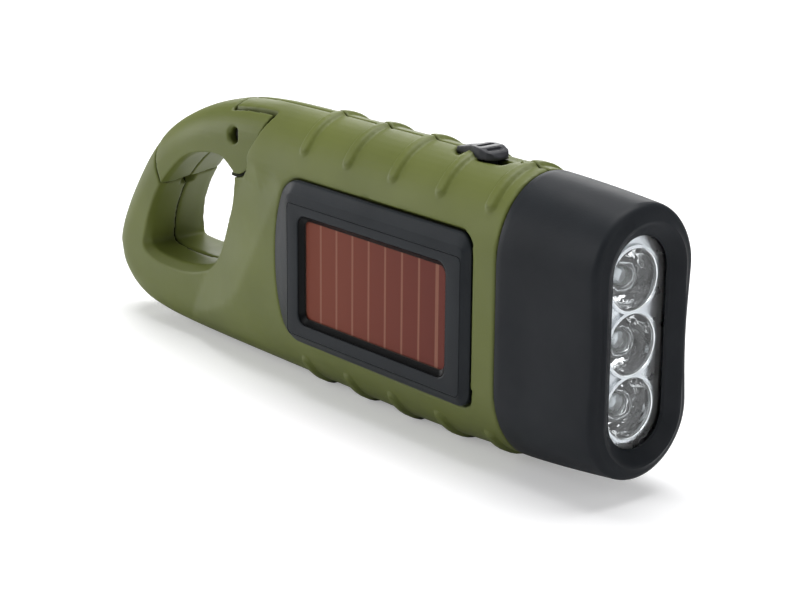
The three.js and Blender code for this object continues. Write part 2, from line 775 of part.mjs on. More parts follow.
// Openings and clearances cut through the finished casing
function casingCuts() {
  const cell = [windowLength + 2 * cellMargin, windowHeight + 2 * cellMargin];
  const cellCut = (grow, y) => boxSolid(windowX - cell[0] / 2 - grow, windowX + cell[0] / 2 + grow, -far, y,
    windowZ - cell[1] / 2 - grow, windowZ + cell[1] / 2 + grow);
  const cuts = [
    slabY(polygon(bezelPlaces(bezelSides(-gap), bezelRound, bezelBulge)), [-far, frameY[0]]),
    cellCut(gap, cellY[1] + gap),
    cellCut(-cellLedge, frameY[1] + gap),
    slabZ(roundedRect(neckX - recessToNeck, 0, recessLength, recessWidth, recessRound),
      [topRise - recessDepth, far]),
    slabZ(stadium(slotX, stemLength + switchTravel + 2 * gap, stemWidth + 2 * gap),
      [retainerTop - retainerHeight, far]),
    boxSolid(slotX - retainerRun, slotX + retainerRun, -retainerHalf - gap, retainerHalf + gap,
      retainerTop - retainerHeight - gap, retainerTop + gap),
    rodY(bushRadius + gap, crankAt, [0, far], padSides),
    rodY(bushFlangeRadius + gap, crankAt, [bushTopY - bushFlangeHeight - gap, far], padSides),
    rodY(axleRadius + gap, firstAt, [0, axleTopY + gap]),
    rodY(axleRadius + gap, secondAt, [0, axleTopY + gap]),
    rodY(axleRadius + gap, rotorAt, [0, rotorTopY + gap]),
    rodY(pinRadius + gap, pivot, [-tongueHalf - gap, tongueHalf + gap], boreSides),
    rodZ(springRadius + springWire + gap, [springX, 0], [pivotZ - tailRadius, springTopZ + gap]),
    slabY(sector(pivot, [noseRadius - barbLap, noseRadius + barbReach + gap],
      [barbTop - barbSlack, notchBottom]), [-barbHalf - gap, barbHalf + gap]),
    boxSolid(-far, far, -far, far, -far, footZ),
  ];
  caseScrews.forEach((at) => cuts.push(...screwCuts(at)));
  gearScrews.forEach((at) => cuts.push(
    rodY(screwRadius + gap, at, [0, gearPlateY[0] + gearScrewLength], screwSides)));
  return cuts;
}

function screwCuts(at) {
  return [rodY(screwHead + gap, at, [screwSeatY - gap, far], boreSides),
    rodY(screwRadius + gap, at, [screwTipY - gap, far], screwSides)];
}

function halfOf(solid, crankSide) {
  const [y0, y1] = crankSide ? [halfGap, far] : [-far, -halfGap];
  return solid.intersect(boxSolid(-far, far, y0, y1, -far, far));
}

// The gate of the carabiner before it is split
function gateSolid() {
  let gate = pillow(0, true).intersect(slabY(gatePolygon(0), [-far, far]));
  gate = cutFrom(gate, [holeSolid(), slabY(tonguePolygon(gap), [-tongueHalf - gap, tongueHalf + gap])]);
  const barb = sector(pivot, [noseRadius - barbLap, noseRadius + barbReach], [barbTop, barbBottom]);
  gate = gate.add(slabY(barb, [-barbHalf, barbHalf]));
  return cutFrom(gate, [rodY(pinRadius + gap, pivot, [-far, far], boreSides), ...screwCuts(gateScrew)]);
}

// Spring that closes the gate: a wire wound about an upright line
function springSolid() {
  const floor = pivotZ - tongueBoss;
  const bottom = floor + springWire;
  const rise = springTopZ - springWire - bottom;
  const count = springTurns * springTurnSteps;
  const points = Array.from({ length: count + 1 }, (_, i) => {
    const angle = (2 * Math.PI * i) / springTurnSteps;
    return new THREE.Vector3(springX + springRadius * Math.cos(angle), springRadius * Math.sin(angle),
      bottom + (rise * i) / count);
  });
  const wire = new THREE.Shape();
  wire.absarc(0, 0, springWire, 0, 2 * Math.PI);
  const sweep = new THREE.ExtrudeGeometry(wire, { steps: count, bevelEnabled: false,
    extrudePath: new THREE.CatmullRomCurve3(points), curveSegments: springSides });
  return solidOf(sweep);
}

// Cross-head screw along Y; its head is at the end that heading points to
function screwSolid(at, seat, tip) {
  const heading = Math.sign(seat - tip);
  const span = (a, b) => [Math.min(a, b), Math.max(a, b)];
  const top = seat + heading * screwHeadHeight;
  const [half, arm] = [screwCrossWidth / 2, screwCross];
  const cross = polygon([[-arm, -half], [-half, -half], [-half, -arm], [half, -arm], [half, -half],
    [arm, -half], [arm, half], [half, half], [half, arm], [-half, arm], [-half, half], [-arm, half]]
    .map(([x, z]) => [at[0] + x, at[1] + z]));
  const head = rodY(screwHead, at, span(seat, top), screwSides);
  return head.add(rodY(screwRadius, at, span(tip, seat + heading * halfGap), screwSides))
    .subtract(slabY(cross, span(top - heading * screwCrossDepth, top + heading)));
}

// Rear, front, top and bottom of the bezel, each set inwards
function bezelSides(...insets) {
  const [rear, front, top, bottom] = insets.length > 1 ? insets : Array(4).fill(insets[0]);
  return [bezelX - bezelLength / 2 + rear, bezelX + bezelLength / 2 - front, bezelHeight / 2 - top,
    -bezelHeight / 2 + bottom];
}

function sidesAround(x, z, length, height) {
  return [x - length / 2, x + length / 2, z + height / 2, z - height / 2];
}

// Outline between four sides, with rounded corners and a rear side that may bulge
function bezelPlaces([rear, front, top, bottom], radius, bulge) {
  const corners = [[front - radius, top - radius], [rear + radius, top - radius],
    [rear + radius, bottom + radius], [front - radius, bottom + radius]];
  const places = corners.flatMap((at, turn) =>
    arcPoints(at, radius, (turn * Math.PI) / 2, ((turn + 1) * Math.PI) / 2, cornerSteps));
  const side = Array.from({ length: bulgeSteps - 1 }, (_, i) =>
    [rear, THREE.MathUtils.lerp(top - radius, bottom + radius, (i + 1) / bulgeSteps)]);
  places.splice(2 * (cornerSteps + 1), 0, ...side);
  const [middle, half] = [(top + bottom) / 2, (top - bottom) / 2];
  return places.map(([x, z]) => {
    const out = x < (rear + front) / 2 ? 1 - Math.abs((z - middle) / half) ** bezelBulgeCurveShare : 0;
    return [x - bulge * out, z];
  });
}

// Bezel round the solar cell, rebated behind its window for the cell
function bezelSolid() {
  const ring = (sides, radius, y, bulge = 0) => bezelPlaces(sides, radius, bulge)
    .map(([x, z]) => new THREE.Vector3(x, typeof y === 'function' ? y(x) : y, z));
  const [rear, front] = bezelSides(0);
  const shoulder = (x) => THREE.MathUtils.mapLinear(x, rear - bezelBulge, front,
    bezelRearEdgeDrop, bezelFrontEdgeDrop) - bezelFace;
  const window = (inset, y) => ring(sidesAround(windowX, windowZ, windowLength - 2 * inset,
    windowHeight - 2 * inset), windowRound, y);
  const slack = 2 * (cellMargin + gap);
  const rebate = sidesAround(windowX, windowZ, windowLength + slack, windowHeight + slack);
  return loft([ring(bezelSides(0), bezelRound, bezelBackY, bezelBulge),
    ring(bezelSides(0), bezelRound, shoulder, bezelBulge),
    ring(bezelSides(...bezelCreases), bezelRound, -bezelFace), window(0, -bezelFace),
    window(windowDraft, bezelRebate - bezelFace), ring(rebate, gap, bezelRebate - bezelFace),
    ring(rebate, gap, bezelBackY)], true);
}

// Head: outline at a share of its length, set inwards by inset
function headOutline(share, inset, waisted) {
  return {
    top: topRise - headTopDrop * share ** headTopCurveShare - inset,
    bottom: -neckBottomShare * bellyDrop + headBottomRise * share ** headBottomCurveShare + inset,
    half: THREE.MathUtils.lerp(frontHalf + headProud, frontHalf, share) - inset,
    round: THREE.MathUtils.lerp(sectionRound, headFrontRound, share) - inset,
    waist: waisted ? headWaist * THREE.MathUtils.smoothstep(share, 0, 1 / 3) : 0,
  };
}

function headRing(x, { top, bottom, half, round, waist }) {
  const side = [];
  const put = (y, z) => {
    const off = Math.min(Math.abs(z - headWaistZ) / headWaistReach, 1);
    side.push(new THREE.Vector3(x, -Math.max(y - waist * (1 - off ** 2) ** 2, 0), z));
  };
  const turn = Array.from({ length: headArcSteps + 1 }, (_, i) => (i * Math.PI) / 2 / headArcSteps);
  turn.forEach((a) => put(half * Math.sin(a), top - round * (1 - Math.cos(a))));
  for (let i = 1; i < headFlankSteps; i += 1) {
    put(half, THREE.MathUtils.lerp(top - round, bottom + round, i / headFlankSteps));
  }
  turn.reverse().forEach((a) => put(half * Math.sin(a), bottom + round * (1 - Math.cos(a))));
  return [...side, ...side.slice(1, -1).reverse().map((p) => new THREE.Vector3(p.x, -p.y, p.z))];
}

function lensOutline(grow) {
  return { top: lensTop + grow, bottom: lensBottom - grow, half: lensHalf + grow, round: lensHalf + grow,
    waist: 0 };
}

function headSolid() {
  const shareOf = (x) => (x - neckX) / headLength;
  const inside = (x) => headRing(x, headOutline(shareOf(x), headWall, false));
  const skirt = headStationShares.map((share) =>
    headRing(neckX + share * (headLength - rimRound), headOutline(share, 0, true)));
  const rim = Array.from({ length: rimSteps + 1 }, (_, i) => {
    const a = (i * Math.PI) / 2 / rimSteps;
    const x = frontReach - rimRound * (1 - Math.sin(a));
    return headRing(x, headOutline(shareOf(x), rimRound * (1 - Math.cos(a)), true));
  });
  const lip = frontReach - faceFunnel - faceLip;
  return loft([...skirt, ...rim, headRing(frontReach, lensOutline(frontHalf - faceBand - lensHalf)),
    headRing(lip + faceLip, lensOutline(funnelLean)), headRing(lip, lensOutline(0)),
    inside(lip), inside((lip + neckX) / 2), inside(neckX)], true);
}

// A plate that fills the head from side to side
function headPlate(x0, x1) {
  const ring = (x) => headRing(x, headOutline((x - neckX) / headLength, headWall + gap, false));
  return loft([ring(x0), ring((x0 + x1) / 2), ring(x1)]);
}

function lampHeights() {
  return Array.from({ length: cupCount }, (_, i) => cupCentre + (1 - i) * cupPitch);
}

// Reflector: a plate with one cup for each lamp
function reflectorSolid() {
  const depth = plateX[0] - cupRearX;
  const inner = Array.from({ length: cupSteps + 1 }, (_, i) => {
    const share = i / cupSteps;
    return [cupFloorRadius + (cupRadius - cupFloorRadius) * Math.sqrt(share), depth * share];
  });
  const outer = inner.map(([r, h]) => [r + cupWall, h]);
  const profile = [...outer, ...[...inner].reverse(), outer[0]];
  const cups = lampHeights().map((z) => turnedX(profile, [0, z], cupRearX, cupSides));
  const openings = lampHeights().map((z) => rodX(cupRadius, [0, z], [-far, far], cupSides));
  const voids = lampHeights().map((z) => turnedX([[0, 0], ...inner, [0, depth]], [0, z],
    cupRearX, cupSides));
  return cutFrom(headPlate(...plateX), openings).add(cutFrom(joined(cups), voids));
}

function ledSolid(z) {
  const dome = Array.from({ length: cupSteps }, (_, i) => {
    const a = (i * Math.PI) / 2 / cupSteps;
    return [ledRadius * Math.cos(a), ledLength - ledRadius + ledRadius * Math.sin(a)];
  });
  return turnedX([[0, 0], [ledFlange, 0], [ledFlange, ledFlangeHeight], [ledRadius, ledFlangeHeight],
    ...dome, [0, ledLength]], [0, z], ledX, ledSides);
}

// Gear teeth: half the angle a tooth takes at a radius
function toothHalfAngle(teeth, radius) {
  const pitch = (toothModule * teeth) / 2;
  const base = pitch * Math.cos(toothPressure);
  const involute = (a) => Math.tan(a) - a;
  const there = radius > base ? involute(Math.acos(base / radius)) : 0;
  const thickness = (Math.PI * toothModule - toothBacklash) / 2;
  return thickness / (2 * pitch) + involute(toothPressure) - there;
}

function gearSolid(teeth, [x, z], span, aim) {
  const pitch = (toothModule * teeth) / 2;
  const root = pitch - toothDedendumShare * toothModule;
  const tip = pitch + toothAddendumShare * toothModule;
  const fine = teeth === pinionTeeth;
  const radii = fine ? [root, pitch, tip] : [root, tip];
  const points = [];
  for (let i = 0; i < teeth; i += 1) {
    const middle = aim + (2 * Math.PI * i) / teeth;
    radii.forEach((r) => points.push(along([x, z], r, middle - toothHalfAngle(teeth, r))));
    [...radii].reverse().forEach((r) => points.push(along([x, z], r, middle + toothHalfAngle(teeth, r))));
  }
  return slabY(polygon(points), span);
}

function pinionSolid(at, span, towards) {
  return gearSolid(pinionTeeth, at, span, towards + Math.PI + Math.PI / pinionTeeth);
}

function driveGearSolid() {
  const shaft = joined([
    gearSolid(crankTeeth, crankAt, crankGearY, firstAngle),
    rodY(shaftRadius, crankAt, [gearFloorY, armBottom - gap], boreSides),
    rodY(shaftTipRadius, crankAt, [gearPlateY[0], gearFloorY + gap]),
    rodY(shaftRadius, crankAt, [armBottom - 2 * gap, shaftEndY], hexSides)]);
  const bore = [shaftEndY - crankScrewLength - gap, far];
  return shaft.subtract(rodY(crankScrewRadius + gap, crankAt, bore));
}

function idlerSolid(at, pinionSpan, wheelTeeth, wheelSpan, from, onward) {
  const solid = joined([
    pinionSolid(at, pinionSpan, from),
    gearSolid(wheelTeeth, at, wheelSpan, onward),
    rodY(hubRadiusSmall, at, [gearFloorY, crankGearY[1]], boreSides)]);
  return solid.subtract(rodY(axleRadius + gap, at, [-far, far]));
}

function ringY(outer, inner, at, span, sides) {
  return rodY(outer, at, span, sides).subtract(rodY(inner, at, [-far, far], sides));
}

function statorSolid() {
  const inner = rodY(statorRadius - statorWall, rotorAt, [statorY[0] + statorWall, far], statorSides);
  return cutFrom(rodY(statorRadius, rotorAt, statorY, statorSides),
    [inner, rodY(axleRadius + gap, rotorAt, [-far, far])]);
}

function gearPlateSolid() {
  return cutFrom(slabY(polygon(gearPlateEdge.map(fromCrank)), gearPlateY), [
    rodY(shaftTipRadius + gap, crankAt, [-far, far], boreSides),
    ...[firstAt, secondAt, rotorAt].map((at) => rodY(axleRadius + gap, at, [-far, far])),
    ...gearScrews.map((at) => rodY(screwRadius + gap, at, [-far, far]))]);
}

function boardSolid() {
  const [hx, hz] = [boardLength / 2, boardHeight / 2];
  const board = boxSolid(boardX - hx, boardX + hx, ...boardY, -hz, hz);
  const parts = chips.map(([x, z, length, height]) => boxSolid(boardX + x - length / 2,
    boardX + x + length / 2, boardY[1] - halfGap, boardY[1] + chipHeight, z - height / 2, z + height / 2));
  return cutFrom(joined([board, ...parts]),
    pegPlaces().map((at) => rodY(pegRadius + gap, at, [-far, far])));
}

// Switch: the body under the top wall, its lever and the slider that moves it
function switchBodySolid() {
  const [reach, bottom] = [switchBodyLength / 2, switchBodyTop - switchBodyHeight];
  const slot = leverHalf + switchTravel / 2 + gap;
  return boxSolid(slotX - reach, slotX + reach, -switchBodyHalf, switchBodyHalf, bottom, switchBodyTop)
    .subtract(boxSolid(slotX - slot, slotX + slot, -leverHalf - gap, leverHalf + gap,
      switchBodyTop - leverSink, far));
}

function leverSolid() {
  return boxSolid(switchX - leverHalf, switchX + leverHalf, -leverHalf, leverHalf,
    switchBodyTop - leverSink + gap, leverTop);
}

function sliderSolid() {
  const base = topRise - recessDepth + gap;
  const reach = sliderLength / 2;
  const profile = sliderShares.map(([run, up]) => [switchX + run * reach, base + up * (knobTop - base)]);
  const side = sliderPlanShares.map(([run, out]) => [switchX + run * reach, out * sliderHalf]);
  const plan = [...side, ...side.map(([x, y]) => [x, -y]).reverse()];
  const knob = slabY(polygon(profile), [-sliderHalf, sliderHalf])
    .intersect(slabZ(polygon(plan), [base, knobTop]));
  const grips = Array.from({ length: gripCount }, (_, i) => {
    const x = switchX + gripStart + i * gripPitch;
    return boxSolid(x - gripWidth / 2, x + gripWidth / 2, -gripHalf, gripHalf, knobTop - gripDepth, far);
  });
  const low = retainerTop - retainerHeight;
  const stem = slabZ(stadium(switchX, stemLength, stemWidth), [low, base + gap]);
  const retainer = boxSolid(switchX - retainerLength / 2, switchX + retainerLength / 2,
    -retainerHalf, retainerHalf, low, retainerTop);
  const notch = boxSolid(switchX - leverHalf - gap, switchX + leverHalf + gap, -leverHalf - gap,
    leverHalf + gap, -far, leverTop + gap);
  return cutFrom(joined([knob, stem, retainer]), [notch, ...grips]);
}

function stadium(x, length, width) {
  const [run, half] = [(length - width) / 2, width / 2];
  return polygon([...arcPoints([x + run, 0], half, -Math.PI / 2, Math.PI / 2),
    ...arcPoints([x - run, 0], half, Math.PI / 2, 1.5 * Math.PI)]);
}

// Crank arm: hub, two rails and the ears for the knob's pin
function armSolid() {
  const top = armBottom + armThickness;
  const [inner, pinX] = [lugHalf + gap, foldAt[0]];
  const beam = polygon([[pinX - earRadius, crankZ - armHalf], [forkEnd, crankZ - armHalf],
    [crankX, crankZ - hubRadius], [crankX, crankZ + hubRadius], [forkEnd, crankZ + armHalf],
    [pinX - earRadius, crankZ + armHalf]]);
  const slot = boxSolid(-far, forkEnd, -far, far, crankZ - knobRadius - gap, crankZ + knobRadius + gap);
  const ears = [-1, 1].flatMap((side) => {
    const z = [crankZ + side * inner, crankZ + side * armHalf].sort((a, b) => a - b);
    return [rodZ(earRadius, foldAt, z, boreSides),
      boxSolid(pinX - earRadius, pinX + earRadius, armBottom, foldAt[1], ...z)];
  });
  const bridge = boxSolid(pinX - earRadius, pinX + earRadius, armBottom, armBottom + bridgeThickness,
    crankZ - armHalf, crankZ + armHalf);
  const hub = rodY(hubRadius, crankAt, [armBottom, top], padSides)
    .add(rodY(hubRadius - hubStep, crankAt, [armBottom, hubTopY], padSides));
  const arm = slabY(beam, [armBottom, top]).subtract(slot);
  return cutFrom(joined([arm, hub, bridge, ...ears]), [
    rodY(shaftRadius + gap, crankAt, [-far, far], hexSides),
    rodY(crankScrewHead + gap, crankAt, [crankSeatY - halfGap, far], boreSides),
    rodZ(foldPinRadius + gap, foldAt, [crankZ - armHalf + pinCover, crankZ + armHalf - pinCover])]);
}

function crankScrewSolid() {
  return rodY(crankScrewHead, crankAt, [crankSeatY, crankSeatY + crankScrewHeadHeight], boreSides)
    .add(rodY(crankScrewRadius, crankAt, [shaftEndY - crankScrewLength, crankSeatY + halfGap]))
    .subtract(boxSolid(crankX - crankScrewHead, crankX + crankScrewHead,
      crankSeatY + crankScrewHeadHeight / 2, far, crankZ - screwCrossWidth, crankZ + screwCrossWidth));
}

// Folding knob: spindle with its lug, the turning sleeve and the screw that keeps it on
function spindleSolid() {
  const [pinX, y] = foldAt;
  const end = pinX + knobStart + knobLength + gap;
  const solid = rodZ(lugRadius, foldAt, [crankZ - lugHalf, crankZ + lugHalf], boreSides)
    .add(rodX(spindleRadius, [y, crankZ], [pinX, end]));
  return cutFrom(solid, [rodZ(foldPinRadius + gap, foldAt, [-far, far]),
    rodX(knobScrewRadius + gap, [y, crankZ], [end - knobScrewLength - gap, far])]);
}

function sleeveSolid() {
  const bore = spindleRadius + gap;
  const turn = Array.from({ length: knobRoundSteps + 1 }, (_, i) => (i * Math.PI) / 2 / knobRoundSteps);
  const flat = knobRadius - knobRound;
  const near = turn.map((a) => [flat + knobRound * Math.sin(a), knobRound * (1 - Math.cos(a))]);
  const waist = [[knobWaist, knobLength / 3], [knobWaist, (2 * knobLength) / 3]];
  const away = [...turn].reverse().map((a) => [flat + knobRound * Math.sin(a),
    knobLength - knobRound * (1 - Math.cos(a))]);
  const profile = [[bore, 0], ...near, ...waist, ...away, [bore, knobLength], [bore, 0]];
  return turnedX(profile, [foldAt[1], crankZ], foldAt[0] + knobStart, knobSides);
}

function knobScrewSolid() {
  const axis = [foldAt[1], crankZ];
  const start = foldAt[0] + knobStart + knobLength + 2 * gap;
  return rodX(knobScrewHead, axis, [start, start + screwHeadHeight], boreSides)
    .add(rodX(knobScrewRadius, axis, [start - gap - knobScrewLength, start + gap]));
}

const assembly = new THREE.Group();

function node(name, solid, material) {
  const mesh = new THREE.Mesh(geometryOf(solid), new THREE.MeshStandardMaterial(material));
  mesh.name = name;
  assembly.add(mesh);
}

const casing = casingSolid();
node('panel_side_shell', halfOf(casing, false), olive);
node('crank_side_shell', halfOf(casing, true), olive);
const gate = gateSolid();
node('gate_panel_half', halfOf(gate, false), olive);
node('gate_crank_half', halfOf(gate, true), olive);
node('gate_pin', rodY(pinRadius, pivot, [-pinHalf, pinHalf], boreSides), steel);
node('gate_spring', springSolid(), steel);
node('gate_screw', screwSolid(gateScrew, screwSeatY, screwTipY), steel);
caseScrews.forEach((at, i) => node(`case_screw_${i + 1}`, screwSolid(at, screwSeatY, screwTipY), steel));

node('head_shell', headSolid(), charcoal);
node('lens_cover', headPlate(...lensX), lensClear);
node('reflector', reflectorSolid(), chrome);
lampHeights().forEach((z, i) => node(`led_${['top', 'middle', 'bottom'][i]}`, ledSolid(z), ledClear));
node('led_board', loft([ledBoardX[0], ledBoardX[1]].map((x) =>
  headRing(x, lensOutline(ledBoardGrow)))), boardGreen);

node('solar_bezel', bezelSolid(), charcoal);
node('solar_cell', boxSolid(windowX - cellHalf[0], windowX + cellHalf[0], ...cellY,
  windowZ - cellHalf[1], windowZ + cellHalf[1]), cellRed);
node('main_board', boardSolid(), boardGreen);

node('slide_switch', switchBodySolid(), steel);
node('switch_lever', leverSolid(), black);
node('switch_slider', sliderSolid(), charcoal);

for (let i = 0; i < batteryCount; i += 1) {
  const x = batteryX + i * (batteryLength + gap);
  node(`battery_cell_${i + 1}`,
    rodX(batteryRadius, [0, batteryZ], [x, x + batteryLength], batterySides), steel);
}
contactPlaces().forEach((x, i) => node(`battery_contact_${['rear', 'front'][i]}`,
  boxSolid(x, x + contactThickness, -contactHalf, contactHalf, batteryZ - contactHalf,
    batteryZ + contactHalf), brass));

node('gear_plate', gearPlateSolid(), steel);
node('drive_gear', driveGearSolid(), ivory);
node('first_idler_gear', idlerSolid(firstAt, crankGearY, firstWheelTeeth, firstWheelY, firstAngle,
  secondAngle), ivory);
node('second_idler_gear', idlerSolid(secondAt, firstWheelY, secondWheelTeeth, secondWheelY, secondAngle,
  rotorAngle), ivory);
node('first_idler_axle', rodY(axleRadius, firstAt, [gearPlateY[0], axleTopY]), steel);
node('second_idler_axle', rodY(axleRadius, secondAt, [gearPlateY[0], axleTopY]), steel);
gearScrews.forEach((at, i) => node(`gear_plate_screw_${i + 1}`,
  screwSolid(at, gearPlateY[0] - halfGap, gearPlateY[0] + gearScrewLength - gap), steel));

node('rotor_shaft', rodY(axleRadius, rotorAt, [statorY[0], rotorTopY]), steel);
node('rotor_pinion', pinionSolid(rotorAt, secondWheelY, rotorAngle)
  .add(rodY(hubRadiusSmall, rotorAt, [gearFloorY, secondWheelY[0] + gap], boreSides))
  .subtract(rodY(axleRadius + pressGap, rotorAt, [-far, far])), brass);
node('rotor_magnet', ringY(rotorRadius, axleRadius + pressGap, rotorAt, rotorY, statorSides), magnetGrey);
node('stator_can', statorSolid(), steel);
const coilOuter = statorRadius - statorWall - gap;
node('stator_coil', ringY(coilOuter, coilOuter - coilWall, rotorAt, coilY, statorSides), copper);

node('crank_bushing', cutFrom(rodY(bushRadius, crankAt, [bushBottomY, bushTopY], padSides)
  .add(rodY(bushFlangeRadius, crankAt, [bushTopY - bushFlangeHeight, bushTopY], padSides)),
[rodY(shaftRadius + gap, crankAt, [-far, far], boreSides)]), brass);
node('crank_arm', armSolid(), charcoal);
node('crank_screw', crankScrewSolid(), steel);
node('knob_fold_pin', rodZ(foldPinRadius, foldAt, [crankZ - armHalf + pinCover + gap,
  crankZ + armHalf - pinCover - gap]), steel);
node('knob_spindle', spindleSolid(), steel);
node('knob_sleeve', sleeveSolid(), charcoal);
node('knob_screw', knobScrewSolid(), steel);

const knobFace = foldAt[1] + knobRadius;
assembly.position.set((rearReach - frontReach) / 2, (bezelFace - knobFace) / 2, -footZ);

export default assembly;
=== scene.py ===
import math

import bmesh
import bpy
import numpy as np
from mathutils import Matrix, Quaternion, Vector
from mathutils.bvhtree import BVHTree


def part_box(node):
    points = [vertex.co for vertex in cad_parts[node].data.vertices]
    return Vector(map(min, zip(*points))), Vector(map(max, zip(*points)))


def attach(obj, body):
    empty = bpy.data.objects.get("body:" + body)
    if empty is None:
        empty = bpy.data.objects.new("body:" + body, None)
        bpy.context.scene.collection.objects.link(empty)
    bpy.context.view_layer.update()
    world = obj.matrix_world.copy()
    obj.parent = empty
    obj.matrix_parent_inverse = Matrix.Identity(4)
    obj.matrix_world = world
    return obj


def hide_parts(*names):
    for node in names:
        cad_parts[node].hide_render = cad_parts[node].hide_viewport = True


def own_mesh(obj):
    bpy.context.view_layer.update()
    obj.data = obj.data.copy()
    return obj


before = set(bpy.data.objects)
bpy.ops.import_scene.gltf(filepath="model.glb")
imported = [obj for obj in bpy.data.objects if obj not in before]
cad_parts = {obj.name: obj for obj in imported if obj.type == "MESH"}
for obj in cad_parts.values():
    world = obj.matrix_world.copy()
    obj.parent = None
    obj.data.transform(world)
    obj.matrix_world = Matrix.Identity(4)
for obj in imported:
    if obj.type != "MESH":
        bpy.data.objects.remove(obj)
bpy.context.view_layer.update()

MM = 0.001
OWN_ORIGIN = Vector((-0.7, -4.45, 23.4))
GAP = 0.3
SAME_POINT, SAME_CAD_POINT = 1e-4, 1e-3
ACROSS, ALONG, UPRIGHT = (0, 1, 0), (1, 0, 0), (0, 0, 1)

# Casing, with its outline as shares of the rear reach and of the top or the belly
REAR, FRONT, TOP, BELLY = 68.5, 69.9, 24.2, 23.1
HEAD_LENGTH = 21.5
NECK = FRONT - HEAD_LENGTH
FRONT_HALF, REAR_HALF, LOOP_HALF = 10.8, 9.9, 6.9
SECTION_ROUND, LOOP_ROUND = 13.5, 6.5
NECK_BOTTOM = 0.957 * BELLY
LOOP_BLEND = (-0.75 * REAR, -0.35 * REAR)
TOP_SHARES = [(-1, -0.384), (-0.985, -0.231), (-0.945, -0.017), (-0.892, 0.202), (-0.83, 0.417),
              (-0.75, 0.616), (-0.645, 0.773), (-0.535, 0.884), (-0.42, 0.957), (-0.312, 0.988),
              (-0.18, 0.998)]
BOTTOM_SHARES = [(-0.996, -0.489), (-0.978, -0.658), (-0.93, -0.814), (-0.863, -0.918), (-0.77, -0.965),
                 (-0.66, -0.984), (-0.5, -0.993), (-0.25, -0.998), (0, -1), (0.4, -1)]
SCOOP_SLOPE, SCOOP_TILT, SCOOP_EDGE = 0.24, math.radians(30), 13.3
SCOOP_TOP, SCOOP_TOP_TURN, SCOOP_ROUND = 15.5, 16, 4.6
OUTLINE_STEPS, REAR_PART_SHARE, REAR_CROWDING = 2400, 0.52, 1.25

# Ribs round the casing
RIB_PROUD, RIB_HALF, RIB_FIRST, RIB_PITCH, RIB_COUNT = 0.6, 1.4, -3.7, 12, 5
RIB_TOP_END, RIB_LOW_END, FOOT = 17.9, -17.2, -23.4
RIB_CREST_SHARE, RIB_SKIRT_SHARE, RIB_REACH_SHARE = 0.45, 1.02, 1.4

# Carabiner hole and gate
HOLE_SHARES = [(-0.724, 0.198), (-0.69, 0.29), (-0.657, 0.368), (-0.62, 0.44), (-0.58, 0.492),
               (-0.521, 0.529), (-0.472, 0.545), (-0.437, 0.537), (-0.409, 0.494), (-0.387, 0.45),
               (-0.379, 0.39), (-0.384, 0.281), (-0.397, 0.124), (-0.419, -0.066), (-0.437, -0.186),
               (-0.464, -0.288), (-0.499, -0.365), (-0.547, -0.421), (-0.616, -0.463), (-0.695, -0.475),
               (-0.765, -0.459), (-0.809, -0.413), (-0.823, -0.358), (-0.81, -0.227), (-0.79, -0.087),
               (-0.758, 0.074)]
HOLE_DEPTH_SHARES = [-1.6, -1, -0.78, 0.78, 1, 1.6]
HOLE_EASES = [0, 0, 0.2, -0.9, -1.3, -1.3]
HOLE_SILLS = [0, 0, 1.4, 3.3, 3.9, 3.9]
HOLE_LOW = 0.475 * TOP
PIVOT = (-26.4, 17.4)
TAIL_RADIUS = 0.2893 * TOP
SEAM_LIP_HALF, SEAM_LIP_WALL, SEAM_LIP_SUNK = 6.2, 0.5, 0.02
SEAM_LIP_START, SEAM_LIP_SWEEP, SEAM_LIP_STEPS = -100, 77, 32

# How the moulded skins are drawn and parted
SHELL_VOXEL, GATE_VOXEL, ARM_VOXEL, KNOB_VOXEL = 0.36, 0.26, 0.28, 0.11
SKIN_REACH, HOLE_REACH, RIB_REACH = 0.36, 0.4, 0.9
SIDE_SLOPE_START, SKIN_FACING = -8, 0.8
SEAM_HALF, SEAM_NEAR, SEAM_FACING = 0.07, 0.3, 0.9
PARTING_NEAR, PARTING_FACING = 0.5, 0.7
NEIGHBOUR_NEAR, NEIGHBOUR_FACING, SHELL_STEP, GATE_STEP = 0.5, -0.6, 0.1, 0.16

# Solar frame and cell, with sides in the order rear, front, top, low
INWARD = np.array((1, -1, -1, 1))
BEZEL_SIDES = np.array((-5.9, 42.2, 14.2, -14.2))
BEZEL_CREASES = np.array((1.2, -1.35, -2.1, 1.35))
BEZEL_STEP = np.array((1.5, -1.65, -3.75, 1.65))
BEZEL_FACE, BEZEL_BACK, BEZEL_ROUND = -11.3, -9.4, 3
BEZEL_REAR_DROP, BEZEL_FRONT_DROP = 1.1, 0.7
BEZEL_BULGE, BEZEL_BULGE_CURVE = 3.6, 2.4
BEZEL_EDGE, BEZEL_LEAST_ROUND, BEZEL_STEP_ROUND = 0.15, 1, 0.9
WINDOW_SIDES = np.array((-1.5, 37, 8.75, -10.4))
WINDOW_ROUND, WINDOW_LEAST_ROUND, WINDOW_ROUND_SHARE, WINDOW_DRAFT = 1.9, 0.6, 0.5, 0.6
WINDOW_UNDERCUT = -0.5
CELL_FIRST, CELL_PITCH, CELL_LAST = 3.52, 4.29, 33.9
CELL_MARGIN, CELL_FADE = 0.35, 4

